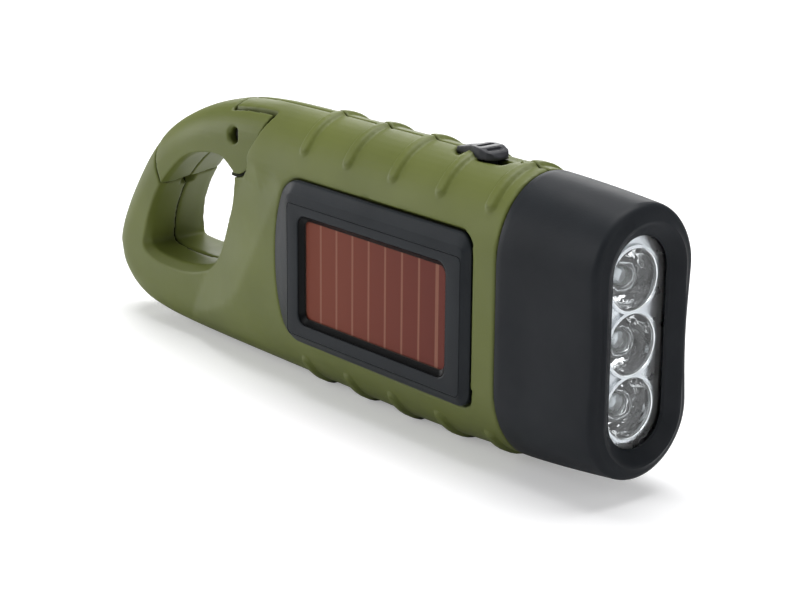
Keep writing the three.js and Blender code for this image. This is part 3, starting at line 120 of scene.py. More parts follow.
# Profiles across the solar frame: inset, depth below the face and, for the crease, the corner radius
BEZEL_SHOULDER = ((0, 0.4), (0.05, 0.18), (0.2, 0.02), (0.42, -0.06))
BEZEL_CREASE_LINE = ((-0.12, 0.2, 1.4), (-0.02, 0.14, 1.3), (0.1, 0.11, 1.2))
BEZEL_STEP_LINE = ((-0.08, 0.02), (-0.02, 0.1), (0.06, 0.1), (0.12, 0.01), (0.25, 0))
WINDOW_MOUTH = ((-0.35, 0), (-0.15, 0.03), (-0.03, 0.12), (0, 0.3), (WINDOW_DRAFT, 0.9),
                (WINDOW_UNDERCUT, 0.95))
SHADE_SHEET_LINE = ((0.06, 0.24), (0.1, 0.2), (0.3, 0.45), (WINDOW_DRAFT + 0.32, 0.88), (WINDOW_DRAFT + 0.05, 0.88))

# Lamp head
HEAD_PROUD, HEAD_WALL, HEAD_EDGE, RIM_ROUND = 0.25, 2, 0.3, 1.3
HEAD_NARROW, FACE_FALL, HEAD_FRONT_ROUND = 0.45, 0.5, 11
HEAD_TOP_FALL, HEAD_TOP_CURVE, HEAD_LOW_RISE, HEAD_LOW_CURVE = 1.3, 1.5, 2.1, 1.3
HEAD_WAIST, HEAD_WAIST_REACH, HEAD_WAIST_Z, HEAD_WAIST_START_SHARE = 0.6, 14, 0.8, 1 / 3
LENS_HALF, LENS_TOP, LENS_BOTTOM = 5.6, 17.9, -15.4
FACE_BAND, FACE_FUNNEL, FACE_LIP, FUNNEL_LEAN = 3.2, 1.4, 0.4, 0.3
FACE_EDGE = ((0.55, 0), (0.28, 0.04), (0.05, 0.16), (-0.22, 0.36), (-0.8, 0.8))
FUNNEL_EDGE, FUNNEL_EDGE_LEAN, COVER_EDGE = 0.12, 0.22, 0.15

# Cups and lamps, with profiles as pairs of radius and height
LENS_FRONT = FRONT - FACE_FUNNEL - FACE_LIP - GAP
LENS_BACK = LENS_FRONT - 0.8
PLATE_FRONT = LENS_BACK - GAP
PLATE_BACK = PLATE_FRONT - 1.1
LED_BASE = NECK + 6.5 + GAP + 1.2 + GAP
CUP_BACK = LED_BASE + 1 + GAP
CUP_PLACES = {"top": 10.9, "middle": 0.8, "bottom": -9.3}
CUP_RADIUS, CUP_FLOOR, CUP_WALL, CUP_STEPS = 4.75, 2.9, 0.3, 24
CUP_LIP = ((0.12, 0.1), (0.3, 0.04), (0.32, -0.3))
CUP_DEPTH = PLATE_FRONT - CUP_LIP[0][1] - CUP_BACK
CUP_ROOM, CUTTER_OVERRUN = 0.02, 1
RIDGE_INSIDE, RIDGE_OUTSIDE, RIDGE_HEIGHT, RIDGE_LAP = 0.2, 0.62, 0.56, 0.01
GLASS_GAP, GLASS_START, GLASS_SHOULDER, GLASS_DOME = 0.08, 0.7, 0.35, 0.34
GLASS_HOLLOW = [(0, 6.5), (1.4, 6.3), (2.3, 5.6), (2.7, 4.6), (2.75, GLASS_START)]
LAMP_LENGTH, LAMP_RADIUS = 7, 2.5
LAMP_FLANGE = [(0, 0), (2.9, 0), (2.9, 0.9), (2.8, 1), (LAMP_RADIUS, 1)]
LAMP_SEAT = [(0, 1.2), (0.5, 1.2), (0.55, 3.4), (1.25, 4.1), (1.3, 4.2), (0.9, 3.7), (0, 3.6)]

# Switch, crank and its folding knob
SWITCH_BACK = -0.9
CRANK_X, CRANK_Z, CRANK_PAD, CRANK_PAD_RADIUS = 30, 0.5, 10, 10
CRANK_FACE, CRANK_SINK = 16.2, 1.3
FOLD_X, FOLD_Y = -10, 15.8
FOLD_PLACE = (FOLD_X, FOLD_Y, CRANK_Z)
GRIP_START, GRIP_LENGTH, GRIP_FLAT, GRIP_EDGE, GRIP_BORE = 5, 14.5, 3.4, 1, 1.8
GRIP_WAIST, GRIP_GROOVE, GRIP_STEPS = 0.5, 0.22, 30
GRIP_END = GRIP_START + GRIP_LENGTH + GAP

# Pins and the knob's bar, with profiles as pairs of radius and place along
GATE_PIN_RADIUS, GATE_PIN_HALF, GATE_PIN_EDGE = 1.2, 5.4, 0.25
FOLD_PIN_RADIUS, FOLD_PIN_HALF = 1, 6
LUG_BORE, LUG_RADIUS, LUG_HALF = 1.3, 2.8, 3.6
BAR_BORE, BAR_RADIUS, BAR_START, TURNED_EDGE = 0.9, 1.5, 2.6, 0.2
BAR_PROFILE = [(BAR_BORE, BAR_START), (BAR_RADIUS, BAR_START), (BAR_RADIUS, GRIP_END - TURNED_EDGE),
               (BAR_RADIUS - TURNED_EDGE, GRIP_END), (BAR_BORE, GRIP_END), (BAR_BORE, BAR_START)]
SPRING_WIRE, SPRING_RADIUS, SPRING_TURNS, SPRING_KEPT_SHARE = 0.28, 1.1, 5, 0.68

# Screws, with places along and up for those that hold the halves
SHELL_SCREWS = ((-60.5, -14), (-24.5, -17.3), (40.6, -18), (3.5, 18.2))
GATE_SCREW = (-44, 14.5)
HALF_SCREW = dict(radius=1, head=2, height=1.4, seat=4.2, tip=-4.8, axis=ACROSS, cross=1.3, wide=0.5)
HUB_SCREW = dict(radius=1, head=2.8, height=1.3, axis=ACROSS, cross=1.7, wide=0.8)
KNOB_SCREW = dict(radius=0.6, head=2.7, height=1.4, axis=ALONG, cross=1.7, wide=0.7)
HUB_SCREW_LENGTH, KNOB_SCREW_LENGTH = 6.3, 5.3
SLOT_DEPTH, SLOT_CUTTER = 0.7, 4


def finished(ob):
    """A plain mesh object that holds what the object's modifiers make of it."""
    graph = bpy.context.evaluated_depsgraph_get()
    mesh = bpy.data.meshes.new_from_object(ob.evaluated_get(graph))
    name = ob.name
    bpy.data.objects.remove(ob)
    mesh.name = name
    made = bpy.data.objects.new(name, mesh)
    bpy.context.scene.collection.objects.link(made)
    return made


def object_from(bm, name):
    """The bmesh as an object, still in millimetres."""
    mesh = bpy.data.meshes.new(name)
    bm.to_mesh(mesh)
    bm.free()
    ob = bpy.data.objects.new(name, mesh)
    bpy.context.scene.collection.objects.link(ob)
    return ob


def placed(ob, body, slot, material, *nodes, crease=40):
    """Takes a piece to its place in the row frame, and tells its body and the nodes it replaces; the slot is
    not used.
    """
    mesh = ob.data
    mesh.transform(Matrix.Scale(MM, 4) @ Matrix.Translation(OWN_ORIGIN))
    mesh.shade_smooth()
    mesh.set_sharp_from_angle(angle=math.radians(crease))
    mesh.materials.clear()
    mesh.materials.append(material)
    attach(ob, body)
    if nodes:
        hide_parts(*nodes)
    return ob


# Forms that the pieces share
def smooth_path(points, count, closed=False):
    """Points along the centripetal curve through the given ones."""
    points = [np.array(p, float) for p in points]
    n = len(points)
    out = []
    for k in range(count + (not closed)):
        t = k / count * (n if closed else n - 1)
        i = min(int(t), n - 1 if closed else n - 2)
        w = t - i
        p1, p2 = points[i], points[(i + 1) % n]
        p0 = points[i - 1] if closed or i else 2 * points[0] - points[1]
        p3 = points[(i + 2) % n] if closed or i + 2 < n else 2 * points[-1] - points[-2]
        d0, d1, d2 = (max(np.linalg.norm(b - a), 1e-6) ** 0.5 for a, b in ((p0, p1), (p1, p2), (p2, p3)))
        m1 = ((p1 - p0) / d0 - (p2 - p0) / (d0 + d1) + (p2 - p1) / d1) * d1
        m2 = ((p2 - p1) / d1 - (p3 - p1) / (d1 + d2) + (p3 - p2) / d2) * d1
        out.append(p1 + m1 * w + (-3 * p1 + 3 * p2 - 2 * m1 - m2) * w**2 + (2 * p1 - 2 * p2 + m1 + m2) * w**3)
    return np.array(out)


def lofted(rings, closed=False, ends=True):
    """A skin through rings of equal count: a grid whose points are moved onto the rings, then sewn up."""
    rings = list(rings) + ([rings[0]] if closed else [])
    rows, count = len(rings), len(rings[0])
    bm = bmesh.new()
    bmesh.ops.create_grid(bm, x_segments=count, y_segments=rows - 1, size=1)
    for v in bm.verts:
        j = round((v.co.x + 1) / 2 * count) % count
        i = round((v.co.y + 1) / 2 * (rows - 1))
        v.co = Vector(rings[i][j])
    bmesh.ops.remove_doubles(bm, verts=bm.verts, dist=SAME_POINT)
    if ends and not closed:
        bmesh.ops.holes_fill(bm, edges=[e for e in bm.edges if e.is_boundary], sides=0)
    bmesh.ops.recalc_face_normals(bm, faces=bm.faces)
    return bm


def turned(profile, axis, at, steps=48):
    """A profile of radius and height spun about a line along an axis through a point."""
    bm = bmesh.new()
    chain = [bm.verts.new((r, 0, h)) for r, h in profile]
    edges = [bm.edges.new(pair) for pair in zip(chain, chain[1:])]
    bmesh.ops.spin(bm, geom=chain + edges, cent=(0, 0, 0), axis=UPRIGHT, angle=2 * math.pi, steps=steps,
                   use_merge=True)
    bmesh.ops.remove_doubles(bm, verts=bm.verts, dist=SAME_POINT)
    bmesh.ops.recalc_face_normals(bm, faces=bm.faces)
    turn = Vector(UPRIGHT).rotation_difference(Vector(axis)).to_matrix().to_4x4()
    bmesh.ops.transform(bm, matrix=Matrix.Translation(at) @ turn, verts=bm.verts)
    return bm


def rod(radius, start, end, axis, at, edge=TURNED_EDGE, steps=40):
    """A turned rod with eased ends, from start to end along its axis."""
    profile = [(0, start), (radius - edge, start), (radius, start + edge), (radius, end - edge),
               (radius - edge, end), (0, end)]
    return turned(profile, axis, at, steps)


def tube(bore, radius, start, end, axis, at, edge=TURNED_EDGE, steps=40):
    """A turned tube whose outer edges are cut off at its ends."""
    profile = [(bore, start), (radius - edge, start), (radius, start + edge), (radius, end - edge),
               (radius - edge, end), (bore, end), (bore, start)]
    return turned(profile, axis, at, steps)


def block(size, at):
    """A plain box, which cuts a slot."""
    bm = bmesh.new()
    bmesh.ops.create_cube(bm, size=1)
    bmesh.ops.scale(bm, vec=size, verts=bm.verts)
    bmesh.ops.translate(bm, vec=at, verts=bm.verts)
    return bm


def joined(name, *parts):
    """Several bmeshes as one object."""
    bm = bmesh.new()
    for part in parts:
        mesh = bpy.data.meshes.new("part")
        part.to_mesh(mesh)
        part.free()
        bm.from_mesh(mesh)
        bpy.data.meshes.remove(mesh)
    return object_from(bm, name)


def combined(ob, other, operation="DIFFERENCE"):
    """An object with another one cut from it, or added to it."""
    cut = ob.modifiers.new("cut", "BOOLEAN")
    cut.operation, cut.solver, cut.object = operation, "EXACT", other
    made = finished(ob)
    bpy.data.objects.remove(other)
    return made


def mapped(x, a0, a1, b0, b1):
    """The place between b0 and b1 that x has between a0 and a1."""
    return b0 + (b1 - b0) * (x - a0) / (a1 - a0)


def eased(x, a, b):
    """A smooth rise from 0 at a to 1 at b."""
    t = min(max((x - a) / (b - a), 0), 1)
    return t * t * (3 - 2 * t)


# The body's skin, finer than the solids carry it
def rounding(share):
    """The share of the full thickness at a share of an edge's round."""
    return 1.0 if share >= 1 else math.sqrt(max(1 - (1 - share) ** 2, 0))


def scoop_at(x, z):
    """How deep the sloping scoop behind the solar frame lies at a place."""
    across = x * math.cos(SCOOP_TILT) - z * math.sin(SCOOP_TILT)
    in_line = -SCOOP_EDGE - across
    in_top = SCOOP_TOP - z + max(0, -SCOOP_TOP_TURN - x)
    depth = min(in_line, in_top)
    if in_line < SCOOP_ROUND or in_top < SCOOP_ROUND:
        depth = SCOOP_ROUND - math.hypot(max(SCOOP_ROUND - in_line, 0), max(SCOOP_ROUND - in_top, 0))
    return min(SCOOP_SLOPE * max(depth, 0), REAR_HALF - LOOP_HALF)


def half_thickness(x, z, depth, thin):
    """Half the body's thickness at a place that lies a depth inside its outline."""
    loop = LOOP_HALF * rounding(depth / LOOP_ROUND)
    if thin:
        return loop
    side = mapped(x, -SCOOP_EDGE, NECK, REAR_HALF, FRONT_HALF)
    body = side * rounding(depth / SECTION_ROUND)
    scoop = scoop_at(x, z)
    return min(body, REAR_HALF - LOOP_HALF - scoop + loop) if scoop > 0 else body


def picks(path, shares):
    """Points at shares of a path's length, and the way it runs there."""
    steps = np.linalg.norm(np.diff(path, axis=0), axis=1)
    run = np.concatenate([[0], np.cumsum(steps)])
    at = np.array(shares) * run[-1]
    places = np.stack([np.interp(at, run, path[:, k]) for k in (0, 1)], 1)
    reach = run[-1] / 250
    ahead = np.stack([np.interp(at + reach, run, path[:, k]) - np.interp(at - reach, run, path[:, k])
                      for k in (0, 1)], 1)
    return places, ahead / np.linalg.norm(ahead, axis=1)[:, None]


def skin_rings(thin=False, rear=150, front=24, turn=14, flank=16):
    """Rings round the closed body from its rear tip on; a thin one is as thick as the loop all along."""
    top = [(a * REAR, u * TOP) for a, u in TOP_SHARES][::-1]
    bottom = [(a * REAR, u * BELLY) for a, u in BOTTOM_SHARES]
    front_low = [(NECK, -NECK_BOTTOM), (FRONT, -NECK_BOTTOM)]
    path = smooth_path([(FRONT, TOP), *top, *bottom, *front_low], OUTLINE_STEPS)
    tip = int(path[:, 0].argmin())
    shares = [REAR_PART_SHARE * (i / rear) ** REAR_CROWDING for i in range(rear)]
    shares += [REAR_PART_SHARE + (1 - REAR_PART_SHARE) * i / front for i in range(front + 1)]
    tops, top_way = picks(path[: tip + 1][::-1], shares)
    bottoms, low_way = picks(path[tip:], shares)
    rings = []
    for i in range(len(shares)):
        reach = LOOP_ROUND + (SECTION_ROUND - LOOP_ROUND) * eased(tops[i][0], *LOOP_BLEND)
        down = np.array([top_way[i][1], -top_way[i][0]] if i else ALONG[:2])
        up = np.array([-low_way[i][1], low_way[i][0]] if i else ALONG[:2])
        depths = [reach * (1 - math.cos(j / turn * math.pi / 2)) for j in range(turn + 1)]
        start, end = tops[i] + down * reach, bottoms[i] + up * reach
        spots = [(tops[i] + down * d, d) for d in depths]
        spots += [(start + (end - start) * j / flank, SECTION_ROUND) for j in range(1, flank)]
        spots += [(bottoms[i] + up * d, d) for d in depths[::-1]]
        side = [(p[0], -half_thickness(p[0], p[1], d, thin), p[1]) for p, d in spots]
        rings.append(side + [(x, -y, z) for x, y, z in side[-2:0:-1]])
    return rings


def hole_rings(count=260):
    """Rings round the carabiner hole at several depths, with eased mouths and a sill that rises low down."""
    path = smooth_path([(a * REAR, u * TOP) for a, u in HOLE_SHARES], count, closed=True)
    way = np.roll(path, -1, 0) - np.roll(path, 1, 0)
    way /= np.linalg.norm(way, axis=1)[:, None]
    rings = []
    for share, ease, sill in zip(HOLE_DEPTH_SHARES, HOLE_EASES, HOLE_SILLS):
        inset = ease + sill * (np.maximum(0, -path[:, 1]) / HOLE_LOW) ** 2
        y = share * LOOP_HALF
        rings.append([(p[0] + g * w[1], y, p[1] - g * w[0]) for p, w, g in zip(path, way, inset)])
    return rings


def surface_of(bm):
    """What finds the nearest place on a mesh, which is then let go."""
    tree = BVHTree.FromBMesh(bm)
    bm.free()
    return tree


# Moulded pieces, remade from the solids
def own_copy(node):
    """A merged copy of a node's mesh in the torch's own millimetres."""
    bm = bmesh.new()
    bm.from_mesh(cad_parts[node].data)
    bmesh.ops.remove_doubles(bm, verts=bm.verts, dist=SAME_CAD_POINT * MM)
    bmesh.ops.scale(bm, vec=(1 / MM,) * 3, verts=bm.verts)
    bmesh.ops.translate(bm, vec=-OWN_ORIGIN, verts=bm.verts)
    return bm


def rib_at(x, z):
    """How far off the centre line of the nearest rib a place is, as a share of the rib's half width."""
    nearest = RIB_FIRST + RIB_PITCH * min(max(round((x - RIB_FIRST) / RIB_PITCH), 0), RIB_COUNT - 1)
    along = max(RIB_TOP_END + RIB_HALF - z, 0) if z > 0 else max(z - RIB_LOW_END + RIB_HALF, 0)
    return math.hypot(x - nearest, along) / RIB_HALF


def rib_rise(share):
    """How far a rib stands off the skin at a share of its half width."""
    return RIB_PROUD * (1 - eased(share, RIB_CREST_SHARE, RIB_SKIRT_SHARE))


def on_crank_pad(co):
    """Whether a place is on the flat pad round the crank's hub."""
    return co.y > CRANK_PAD and math.hypot(co.x - CRANK_X, co.z - CRANK_Z) < CRANK_PAD_RADIUS


def draw_onto(bm, skins):
    """Moves the points onto the curved skins that they lie near and face along."""
    bm.normal_update()
    for tree, reach in skins:
        for v in bm.verts:
            if on_crank_pad(v.co):
                continue
            hit, normal, _, _ = tree.find_nearest(v.co, reach * (2 if v.co.x < SIDE_SLOPE_START else 1))
            if hit is not None and abs(normal.dot(v.normal)) > SKIN_FACING:
                v.co = hit


def raise_ribs(bm, tree):
    """Lifts the points on a rib off the skin by the rib's round profile, down to the foot."""
    bm.normal_update()
    for v in bm.verts:
        on_parting = abs(v.co.y) < PARTING_NEAR and abs(v.normal.y) > PARTING_FACING
        if rib_at(v.co.x, v.co.z) > RIB_REACH_SHARE or on_parting or on_crank_pad(v.co):
            continue
        hit, normal, _, _ = tree.find_nearest(v.co, RIB_REACH)
        if hit is not None:
            outward = normal if normal.dot(Vector((0, hit.y, hit.z))) > 0 else -normal
            v.co = hit + outward * rib_rise(rib_at(hit.x, hit.z))
            v.co.z = max(v.co.z, FOOT)


def open_parting(bm):
    """Draws a half's parting faces back from the middle plane, so that the seam reads."""
    bm.normal_update()
    for v in bm.verts:
        if abs(v.co.y) < SEAM_NEAR and abs(v.normal.y) > SEAM_FACING:
            v.co.y = math.copysign(SEAM_HALF, v.co.y)


def moulded(node, name, voxel, skins=(), easing=2, ribs=None, parted=True):
    """A copy of a node in fine even faces, drawn onto the true curved skins and softened at its edges."""
    ob = object_from(own_copy(node), name)
    remade = ob.modifiers.new("remade", "REMESH")
    remade.mode, remade.voxel_size = "VOXEL", voxel
    ob = finished(ob)
    bm = bmesh.new()
    bm.from_mesh(ob.data)
    draw_onto(bm, skins)
    for _ in range(easing):
        bmesh.ops.smooth_vert(bm, verts=bm.verts, factor=0.5, use_axis_x=True, use_axis_y=True,
                              use_axis_z=True)
    if ribs:
        raise_ribs(bm, ribs)
    if parted:
        open_parting(bm)
    bm.to_mesh(ob.data)
    bm.free()
    return ob


def draw_back(ob, neighbour, step):
    """Walls ahead of the gate's pivot step back from the neighbour that they face, so that the seam reads."""
    tree = surface_of(own_copy(neighbour))
    bm = bmesh.new()
    bm.from_mesh(ob.data)
    bm.normal_update()
    for v in bm.verts:
        if v.co.x < PIVOT[0]:
            continue
        hit, normal, _, _ = tree.find_nearest(v.co, NEIGHBOUR_NEAR)
        if hit is not None and normal.dot(v.normal) < NEIGHBOUR_FACING:
            v.co -= v.normal * step
    bm.to_mesh(ob.data)
    bm.free()


# Finishes
def colour(r, g, b):
    """A colour of 0 to 255, as the shader takes it."""
    return [((c / 255 + 0.055) / 1.055) ** 2.4 if c > 10 else c / 255 / 12.92 for c in (r, g, b)] + [1]


class Finish:
    """A material whose nodes read the piece's own object coordinates."""

    def __init__(self, name, base, rough, metal=0.0, coat=0.0, ior=None, gloss=0.5):
        self.material = bpy.data.materials.new(name)
        self.material.use_nodes = True
        self.nodes, self.links = self.material.node_tree.nodes, self.material.node_tree.links
        self.shader = self.nodes["Principled BSDF"]
        self.shader.inputs["Base Color"].default_value = colour(*base)
        self.shader.inputs["Roughness"].default_value = rough
        self.shader.inputs["Metallic"].default_value = metal
        self.shader.inputs["Coat Weight"].default_value = coat
        self.shader.inputs["Specular IOR Level"].default_value = gloss
        if ior:
            self.shader.inputs["IOR"].default_value = ior
        self.place = self.nodes.new("ShaderNodeTexCoord").outputs["Object"]
        self.base = base
        self.relief = None

    def feed(self, socket, value):
        """Links a socket to another, or sets its value."""
        if isinstance(value, bpy.types.NodeSocket):
            self.links.new(value, socket)
        else:
            socket.default_value = value

    def maths(self, operation, a, b=0.0):
        node = self.nodes.new("ShaderNodeMath")
        node.operation = operation
        self.feed(node.inputs[0], a)
        self.feed(node.inputs[1], b)
        return node.outputs[0]

    def mixed(self, share, under, over, way="MIX"):
        """A colour between two others, each given as a colour or a socket."""
        node = self.nodes.new("ShaderNodeMix")
        node.data_type, node.blend_type = "RGBA", way
        for k, value in ((0, share), (6, under), (7, over)):
            self.feed(node.inputs[k], value)
        return node.outputs[2]

    def stretched(self, scale):
        node = self.nodes.new("ShaderNodeMapping")
        node.inputs["Scale"].default_value = scale
        self.links.new(self.place, node.inputs["Vector"])
        return node.outputs["Vector"]

    def noise(self, scale, detail=3, stretch=None):
        node = self.nodes.new("ShaderNodeTexNoise")
        node.inputs["Scale"].default_value = scale
        node.inputs["Detail"].default_value = detail
        self.links.new(self.stretched(stretch) if stretch else self.place, node.inputs["Vector"])
        return node.outputs["Fac"]

    def ramp(self, source, low, high, start=0.0, end=1.0):
        """Start where the source is at or below low, end where it is at or above high."""
        node = self.nodes.new("ShaderNodeMapRange")
        for socket, value in zip(("From Min", "From Max", "To Min", "To Max"), (low, high, start, end)):
            node.inputs[socket].default_value = value
        self.links.new(source, node.inputs["Value"])
        return node.outputs["Result"]

    def mottled(self, other, scale=60, low=0.35, high=0.65):
        """Soft patches of another tone over the base colour."""
        patches = self.ramp(self.noise(scale), low, high)
        tone = self.mixed(patches, colour(*self.base), colour(*other))
        self.links.new(tone, self.shader.inputs["Base Color"])
        return self

    def shaded(self, reach=0.9 * MM, darkest=0.12):
        """Painted shade: darker where the surface lies deep in a seam or a slot."""
        cover = self.nodes.new("ShaderNodeAmbientOcclusion")
        cover.samples = 6
        cover.inputs["Distance"].default_value = reach
        shade = self.ramp(cover.outputs["AO"], 0.3, 0.72, darkest, 1.0)
        socket = self.shader.inputs["Base Color"]
        self.links.new(self.mixed(1.0, socket.links[0].from_socket, shade, "MULTIPLY"), socket)
        return self

    def worn(self, least, most, scale=90):
        """A roughness that wanders between two levels."""
        self.links.new(self.ramp(self.noise(scale), 0.3, 0.7, least, most), self.shader.inputs["Roughness"])
        return self

    def grained(self, scale, depth, strength=1.0, stretch=None, detail=2):
        """A fine relief, laid over any that is there already."""
        node = self.nodes.new("ShaderNodeBump")
        node.inputs["Distance"].default_value = depth
        node.inputs["Strength"].default_value = strength
        self.links.new(self.noise(scale, detail, stretch), node.inputs["Height"])
        if self.relief:
            self.links.new(self.relief, node.inputs["Normal"])
        self.links.new(node.outputs["Normal"], self.shader.inputs["Normal"])
        self.relief = node.outputs["Normal"]
        return self


# Moulded plastics
olive = Finish("olive_satin_plastic", (101, 109, 48), 0.44, gloss=0.38)
# the olive gets painted shade in its seams and slots from shaded()
olive = olive.mottled((94, 102, 44)).shaded().worn(0.44, 0.56)
olive = olive.grained(3200, 0.04 * MM, 0.35).grained(140, 0.3 * MM, 0.1).material

# darker copy of the olive: painted shade for the seam lip under the gate's tail
seam_shade_olive = Finish("painted_shade_olive_plastic", (38, 42, 20), 0.6, gloss=0.1).mottled((32, 36, 16), 300).material

charcoal = Finish("charcoal_satin_plastic", (31, 34, 38), 0.4, gloss=0.14)
# the charcoal gets painted shade in its seams and slots from shaded()
charcoal = charcoal.mottled((37, 40, 44), 80).shaded(0.7 * MM).worn(0.4, 0.52)
charcoal = charcoal.grained(3600, 0.04 * MM, 0.35).grained(160, 0.3 * MM, 0.08).material

frame_black = Finish("solar_frame_plastic", (30, 34, 38), 0.36, gloss=0.15)
# the solar frame gets painted shade in its seams and slots from shaded()
frame_black = frame_black.mottled((36, 40, 44), 90).shaded(0.7 * MM).worn(0.32, 0.42)
frame_black = frame_black.grained(3600, 0.04 * MM, 0.3).material

knob_black = Finish("knob_black_plastic", (36, 37, 42), 0.36, gloss=0.3)
knob_black = knob_black.mottled((52, 53, 58), 300).worn(0.3, 0.44, 300)
knob_black = knob_black.grained(3800, 0.04 * MM, 0.3).material

# near-black that paints the shade on the solar window's sloping wall
window_shade_black = Finish("painted_window_shade", (9, 10, 11), 0.35, gloss=0.12).mottled((12, 13, 14), 300).material

lever_black = Finish("black_lever_plastic", (30, 31, 33), 0.5).mottled((38, 39, 41), 400)
lever_black = lever_black.grained(2600, 0.03 * MM).material

ivory = Finish("ivory_gear_plastic", (222, 219, 201), 0.5).mottled((214, 210, 190), 200)
ivory = ivory.grained(2200, 0.03 * MM).material

board = Finish("green_board", (31, 92, 56), 0.4, coat=0.3).mottled((26, 78, 48), 500, 0.45, 0.55).material

# Metals and plated plastic
plated_cup = Finish("plated_cup", (246, 248, 249), 0.1, 0.85).worn(0.08, 0.22, 400)
plated_cup = plated_cup.grained(420, 0.6 * MM, 0.25).material

plated_plate = Finish("plated_plate", (205, 208, 211), 0.3, 1.0).worn(0.22, 0.4, 300).material

steel = Finish("turned_steel", (165, 168, 170), 0.32, 1.0).worn(0.24, 0.42, 500)
steel = steel.grained(900, 0.03 * MM, 0.4, (1, 1, 6)).material

zinc = Finish("zinc_screw", (140, 142, 144), 0.42, 1.0).worn(0.34, 0.5, 900)
zinc = zinc.grained(2500, 0.02 * MM, 0.4).material

blacked = Finish("blackened_steel", (52, 52, 50), 0.45, 0.6).worn(0.36, 0.55, 700).material

brass = Finish("drawn_brass", (184, 148, 78), 0.34, 1.0).mottled((168, 130, 64), 400)
brass = brass.worn(0.26, 0.44, 500).material

copper = Finish("enamelled_copper", (168, 92, 52), 0.35, 1.0).worn(0.28, 0.44, 600)
copper = copper.grained(1200, 0.1 * MM, 0.8, (1, 6, 1)).material

ferrite = Finish("pressed_ferrite", (70, 71, 76), 0.6, 0.3).mottled((60, 61, 66), 700)
ferrite = ferrite.grained(2600, 0.04 * MM).material


# Clear pieces
def clear(name, tint, rough, ior):
    """A clear finish that lets the lamps' light through to what lies behind it."""
    made = Finish(name, tint, rough, ior=ior)
    made.shader.inputs["Transmission Weight"].default_value = 1.0
    path = made.nodes.new("ShaderNodeLightPath")
    through = made.nodes.new("ShaderNodeBsdfTransparent")
    through.inputs["Color"].default_value = (0.92, 0.92, 0.92, 1)
    mix = made.nodes.new("ShaderNodeMixShader")
    made.links.new(path.outputs["Is Shadow Ray"], mix.inputs[0])
    made.links.new(made.shader.outputs[0], mix.inputs[1])
    made.links.new(through.outputs[0], mix.inputs[2])
    made.links.new(mix.outputs[0], made.nodes["Material Output"].inputs["Surface"])
    return made


cover_clear = clear("clear_cover", (250, 252, 253), 0.02, 1.3).grained(60, 0.4 * MM, 0.03).material
cup_glass = clear("cup_glass", (254, 255, 255), 0.03, 1.44).grained(260, 1.2 * MM, 0.5).material
led_resin = clear("led_resin", (248, 250, 250), 0.06, 1.45).grained(900, 0.2 * MM, 0.2).material


def cell_finish():
    """Red-brown cell with lighter lines across it at an even pitch and a thin grey border."""
    red, far_red, line_tone, border_tone = (122, 66, 52), (108, 56, 48), (142, 96, 80), (92, 84, 78)
    made = Finish("solar_cell_glaze", red, 0.4, gloss=0.08)
    split = made.nodes.new("ShaderNodeSeparateXYZ")
    made.links.new(made.place, split.inputs[0])
    x, z = split.outputs["X"], split.outputs["Z"]

    def off_middle(source, low, high):
        """How far outside a span a place lies."""
        from_middle = made.maths("ABSOLUTE", made.maths("SUBTRACT", source, (low + high) / 2 * MM))
        return made.maths("SUBTRACT", from_middle, (high - low) / 2 * MM)

    margin = WINDOW_DRAFT + CELL_MARGIN
    rear, front, top, low = WINDOW_SIDES + INWARD * margin
    rear, front, top, low = rear + OWN_ORIGIN.x, front + OWN_ORIGIN.x, top + OWN_ORIGIN.z, low + OWN_ORIGIN.z
    start = (CELL_FIRST + OWN_ORIGIN.x - CELL_PITCH / 2) * MM
    along = made.maths("DIVIDE", made.maths("SUBTRACT", x, start), CELL_PITCH * MM)
    off_line = made.maths("ABSOLUTE", made.maths("SUBTRACT", made.maths("FRACT", along), 0.5))
    off_last = made.maths("ABSOLUTE", made.maths("SUBTRACT", x, (CELL_LAST + OWN_ORIGIN.x) * MM))
    line = made.maths("MAXIMUM", made.ramp(off_line, 0.035, 0.075, 1.0, 0.0),
                      made.ramp(off_last, 0.12 * MM, 0.3 * MM, 1.0, 0.0))
    border = made.ramp(made.maths("MAXIMUM", off_middle(x, rear, front), off_middle(z, low, top)),
                       -0.05 * MM, 0.1 * MM)
    faded = made.ramp(x, (rear + CELL_FADE) * MM, (front - CELL_FADE) * MM)
    tone = made.mixed(faded, colour(*red), colour(*far_red))
    tone = made.mixed(line, tone, colour(*line_tone))
    tone = made.mixed(border, tone, colour(*border_tone))
    made.links.new(tone, made.shader.inputs["Base Color"])
    return made.grained(1800, 0.03 * MM, 0.2).material


# Olive casing halves and the carabiner gate
def make_shells():
    skin = surface_of(lofted(skin_rings(), ends=False))
    loop_skin = surface_of(lofted(skin_rings(thin=True), ends=False))
    hole_skin = surface_of(lofted(hole_rings(), ends=False))
    for side in ("panel", "crank"):
        shell = moulded(f"{side}_side_shell", f"{side}_half", SHELL_VOXEL,
                        [(skin, SKIN_REACH), (hole_skin, HOLE_REACH)], ribs=skin)
        draw_back(shell, f"gate_{side}_half", SHELL_STEP)
        placed(shell, "casing", "olive_plastic", olive, f"{side}_side_shell", crease=70)
    for side in ("panel", "crank"):
        gate = moulded(f"gate_{side}_half", f"gate_{side}", GATE_VOXEL,
                       [(loop_skin, SKIN_REACH), (hole_skin, HOLE_REACH)])
        draw_back(gate, f"{side}_side_shell", GATE_STEP)
        placed(gate, "gate", "olive_plastic", olive, f"gate_{side}_half", crease=70)


